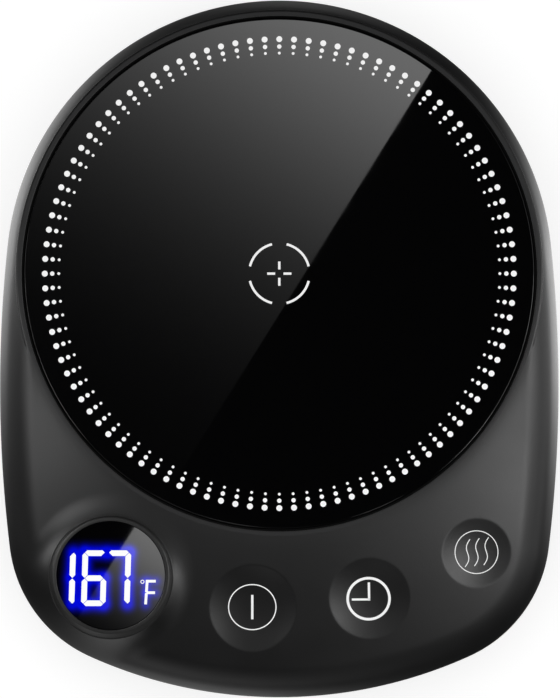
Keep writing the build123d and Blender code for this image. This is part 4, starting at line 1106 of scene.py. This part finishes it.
def fibrous(name, colour, length, relief):
    """Matted or woven fibres that cross in two directions."""
    finish = Finish(name)
    laid = [finish.drawn((1, 9, 9), (0.2, 0.1, turn)) for turn in (0.5, 2.1)]
    fibres = finish.math("MAXIMUM", *(finish.noise(1 / length, 3.0, place) for place in laid))
    return finish.coated(finish.shades(finish.between(fibres, 0, 1, 0.4, 0.65), colour, 0.7, 1), 0.95,
                         {"Normal": finish.bump(fibres, relief)})


dress(turned_metal("turned_aluminium", (0.76, 0.77, 0.78), 0.3, 0.25 * mm), "heat_spreader")
dress(flaked("mica_sheet", (0.34, 0.27, 0.17), (0.6, 0.52, 0.38), 2.4 * mm, 0.34, 0.0, 0.02 * mm),
      "upper_mica", "lower_mica")
foil = heat_tinted("etched_heating_foil", (0.55, 0.53, 0.50), (0.52, 0.38, 0.2), (0.3, 0.2, 0.32))
dress(foil, "heater_track")
dress(fibrous("ceramic_felt", (0.82, 0.81, 0.77), 1.6 * mm, 0.08 * mm), "insulation_pad")
dress(flaked("galvanised_steel", (0.44, 0.46, 0.48), (0.64, 0.66, 0.68), 3.2 * mm, 0.36, 1.0, 0.004 * mm),
      "retaining_plate")


# ---------------------------------------------------------------- sensors and leads
# A thermistor bead and a one-shot thermal fuse, each held by a sprung strip against the stack, and the
# leads that run from them and from the heating foil to the boards.
CASE_GRAIN, CASE_RELIEF = 0.2 * mm, 0.003 * mm
TINNED = ((0.66, 0.67, 0.68), 0.3, 1.0)


def dress_in_two(node, name, axis, start, reach, inner, outer, coat=0.0):
    """Gives a node two finishes, each a colour, a roughness and a metal share of 0 or 1.

    The outer one is where a point lies farther than reach from the start, a share of the node's box.
    """
    finish, (low, high) = Finish(name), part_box(node)
    middle = low.lerp(high, start)["XYZ".index(axis)]
    along = finish.add("ShaderNodeSeparateXYZ", {0: finish.place}).outputs[axis]
    offset = finish.math("ABSOLUTE", finish.math("SUBTRACT", along, middle))
    share, fine = finish.math("GREATER_THAN", offset, reach), finish.noise(0.5 / CASE_GRAIN, 3.0)
    tones = [finish.shades(fine, colour, 0.86, 1) for colour, _, _ in (inner, outer)]
    gloss = finish.times(finish.between(share, inner[1], outer[1]), finish.between(fine, 0.85, 1.15))
    more = {"Metallic": finish.between(share, inner[2], outer[2]), "Coat Weight": coat,
            "Normal": finish.bump(fine, CASE_RELIEF)}
    dress(finish.coated(finish.blend(share, *tones), gloss, more), node)


dress_in_two("thermistor", "sensor_bead", "Z", 0.0, 1.2 * mm,
             ((0.5, 0.5, 0.48), 0.35, 1.0), ((0.12, 0.03, 0.015), 0.3, 0.0))
dress_in_two("thermal_fuse", "fuse_body", "Y", 0.5, 5.0 * mm, ((0.7, 0.68, 0.62), 0.4, 0.0), TINNED)
dress(metal("spring_steel", (0.5, 0.5, 0.5), 0.32, 0.3 * mm, 0.003 * mm, stretch=(1, 8, 8)),
      "thermistor_clip", "fuse_clip")
dress(fibrous("woven_glass_sleeve", (0.74, 0.72, 0.64), 0.6 * mm, 0.05 * mm), "heater_leads")
dress(grained("grey_lead_sleeve", (0.16, 0.16, 0.17), 0.5, 0.3 * mm, 0.004 * mm),
      "sensor_lead", "board_link")
dress(grained("white_connector_nylon", (0.7, 0.69, 0.64), 0.45, 0.3 * mm, 0.004 * mm, mottle=0.06),
      "lead_connector")
dress(grained("black_clamp_nylon", (0.016, 0.016, 0.016), 0.5, 0.3 * mm, 0.006 * mm), "cord_clamp")

# ---------------------------------------------------------------- boards and their parts
# Two glass-epoxy boards under green solder mask: the crescent under the deck carries the touch springs,
# the display block and the controller, and the one in the base carries the mains parts.
SOLDER_MASK, MASK_ON_COPPER = (0.006, 0.07, 0.022), (0.015, 0.16, 0.05)
CHIP_BLACK = ((0.018, 0.018, 0.018), 0.5, 0.0)


def board_finish(name, pitch):
    """Green solder mask, paler and slightly raised over the copper tracks."""
    finish = Finish(name)
    bricks = {"Vector": finish.place, "Scale": 1.0, "Mortar Size": 0.16 * mm, "Mortar Smooth": 0.2,
              "Brick Width": 3.4 * pitch, "Row Height": pitch}
    runs = finish.add("ShaderNodeTexBrick", bricks).outputs["Fac"]
    return finish.coated(finish.blend(runs, SOLDER_MASK, MASK_ON_COPPER),
                         finish.between(finish.noise(2500.0, 2.0), 0.3, 0.45),
                         {"Coat Weight": 0.2, "Normal": finish.bump(runs, 0.03 * mm)})


dress(board_finish("control_board_mask", 1.6 * mm), "control_board")
dress(board_finish("power_board_mask", 3.2 * mm), "power_board")
block_low, block_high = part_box("display_module")
dress_in_two("display_module", "display_block", "Z", 0.0, block_high.z - block_low.z - 0.3 * mm,
             ((0.62, 0.62, 0.6), 0.5, 0.0), ((0.02, 0.02, 0.02), 0.35, 0.0))
dress_in_two("microcontroller", "packaged_chip", "Y", 0.5, 3.76 * mm, CHIP_BLACK, TINNED)
dress(metal("plated_spring_wire", (0.72, 0.62, 0.4), 0.24, 0.2 * mm, 0.002 * mm), "touch_springs")
dress(grained("buzzer_case", (0.016, 0.016, 0.016), 0.4, 0.2 * mm, 0.004 * mm), "buzzer")
dress(grained("relay_case", (0.008, 0.03, 0.12), 0.38, 0.3 * mm, 0.004 * mm), "relay")
dress(grained("film_capacitor_case", (0.6, 0.33, 0.03), 0.42, 0.3 * mm, 0.004 * mm), "film_capacitor")
dress(grained("terminal_green", (0.02, 0.2, 0.06), 0.42, 0.3 * mm, 0.005 * mm), "terminal_block")
dress_in_two("transformer", "wound_bobbin", "X", 0.5, 6.1 * mm,
             ((0.62, 0.42, 0.05), 0.4, 0.0), ((0.03, 0.03, 0.032), 0.6, 0.0))
dress_in_two("smoothing_capacitor", "capacitor_sleeve", "Y", 0.0, 0.3 * mm,
             ((0.7, 0.71, 0.72), 0.28, 1.0), ((0.01, 0.014, 0.03), 0.35, 0.0))
dress_in_two("board_fuse", "fuse_tube", "X", 0.5, 5.2 * mm,
             ((0.5, 0.54, 0.54), 0.06, 0.0), ((0.7, 0.66, 0.52), 0.24, 1.0), coat=0.5)
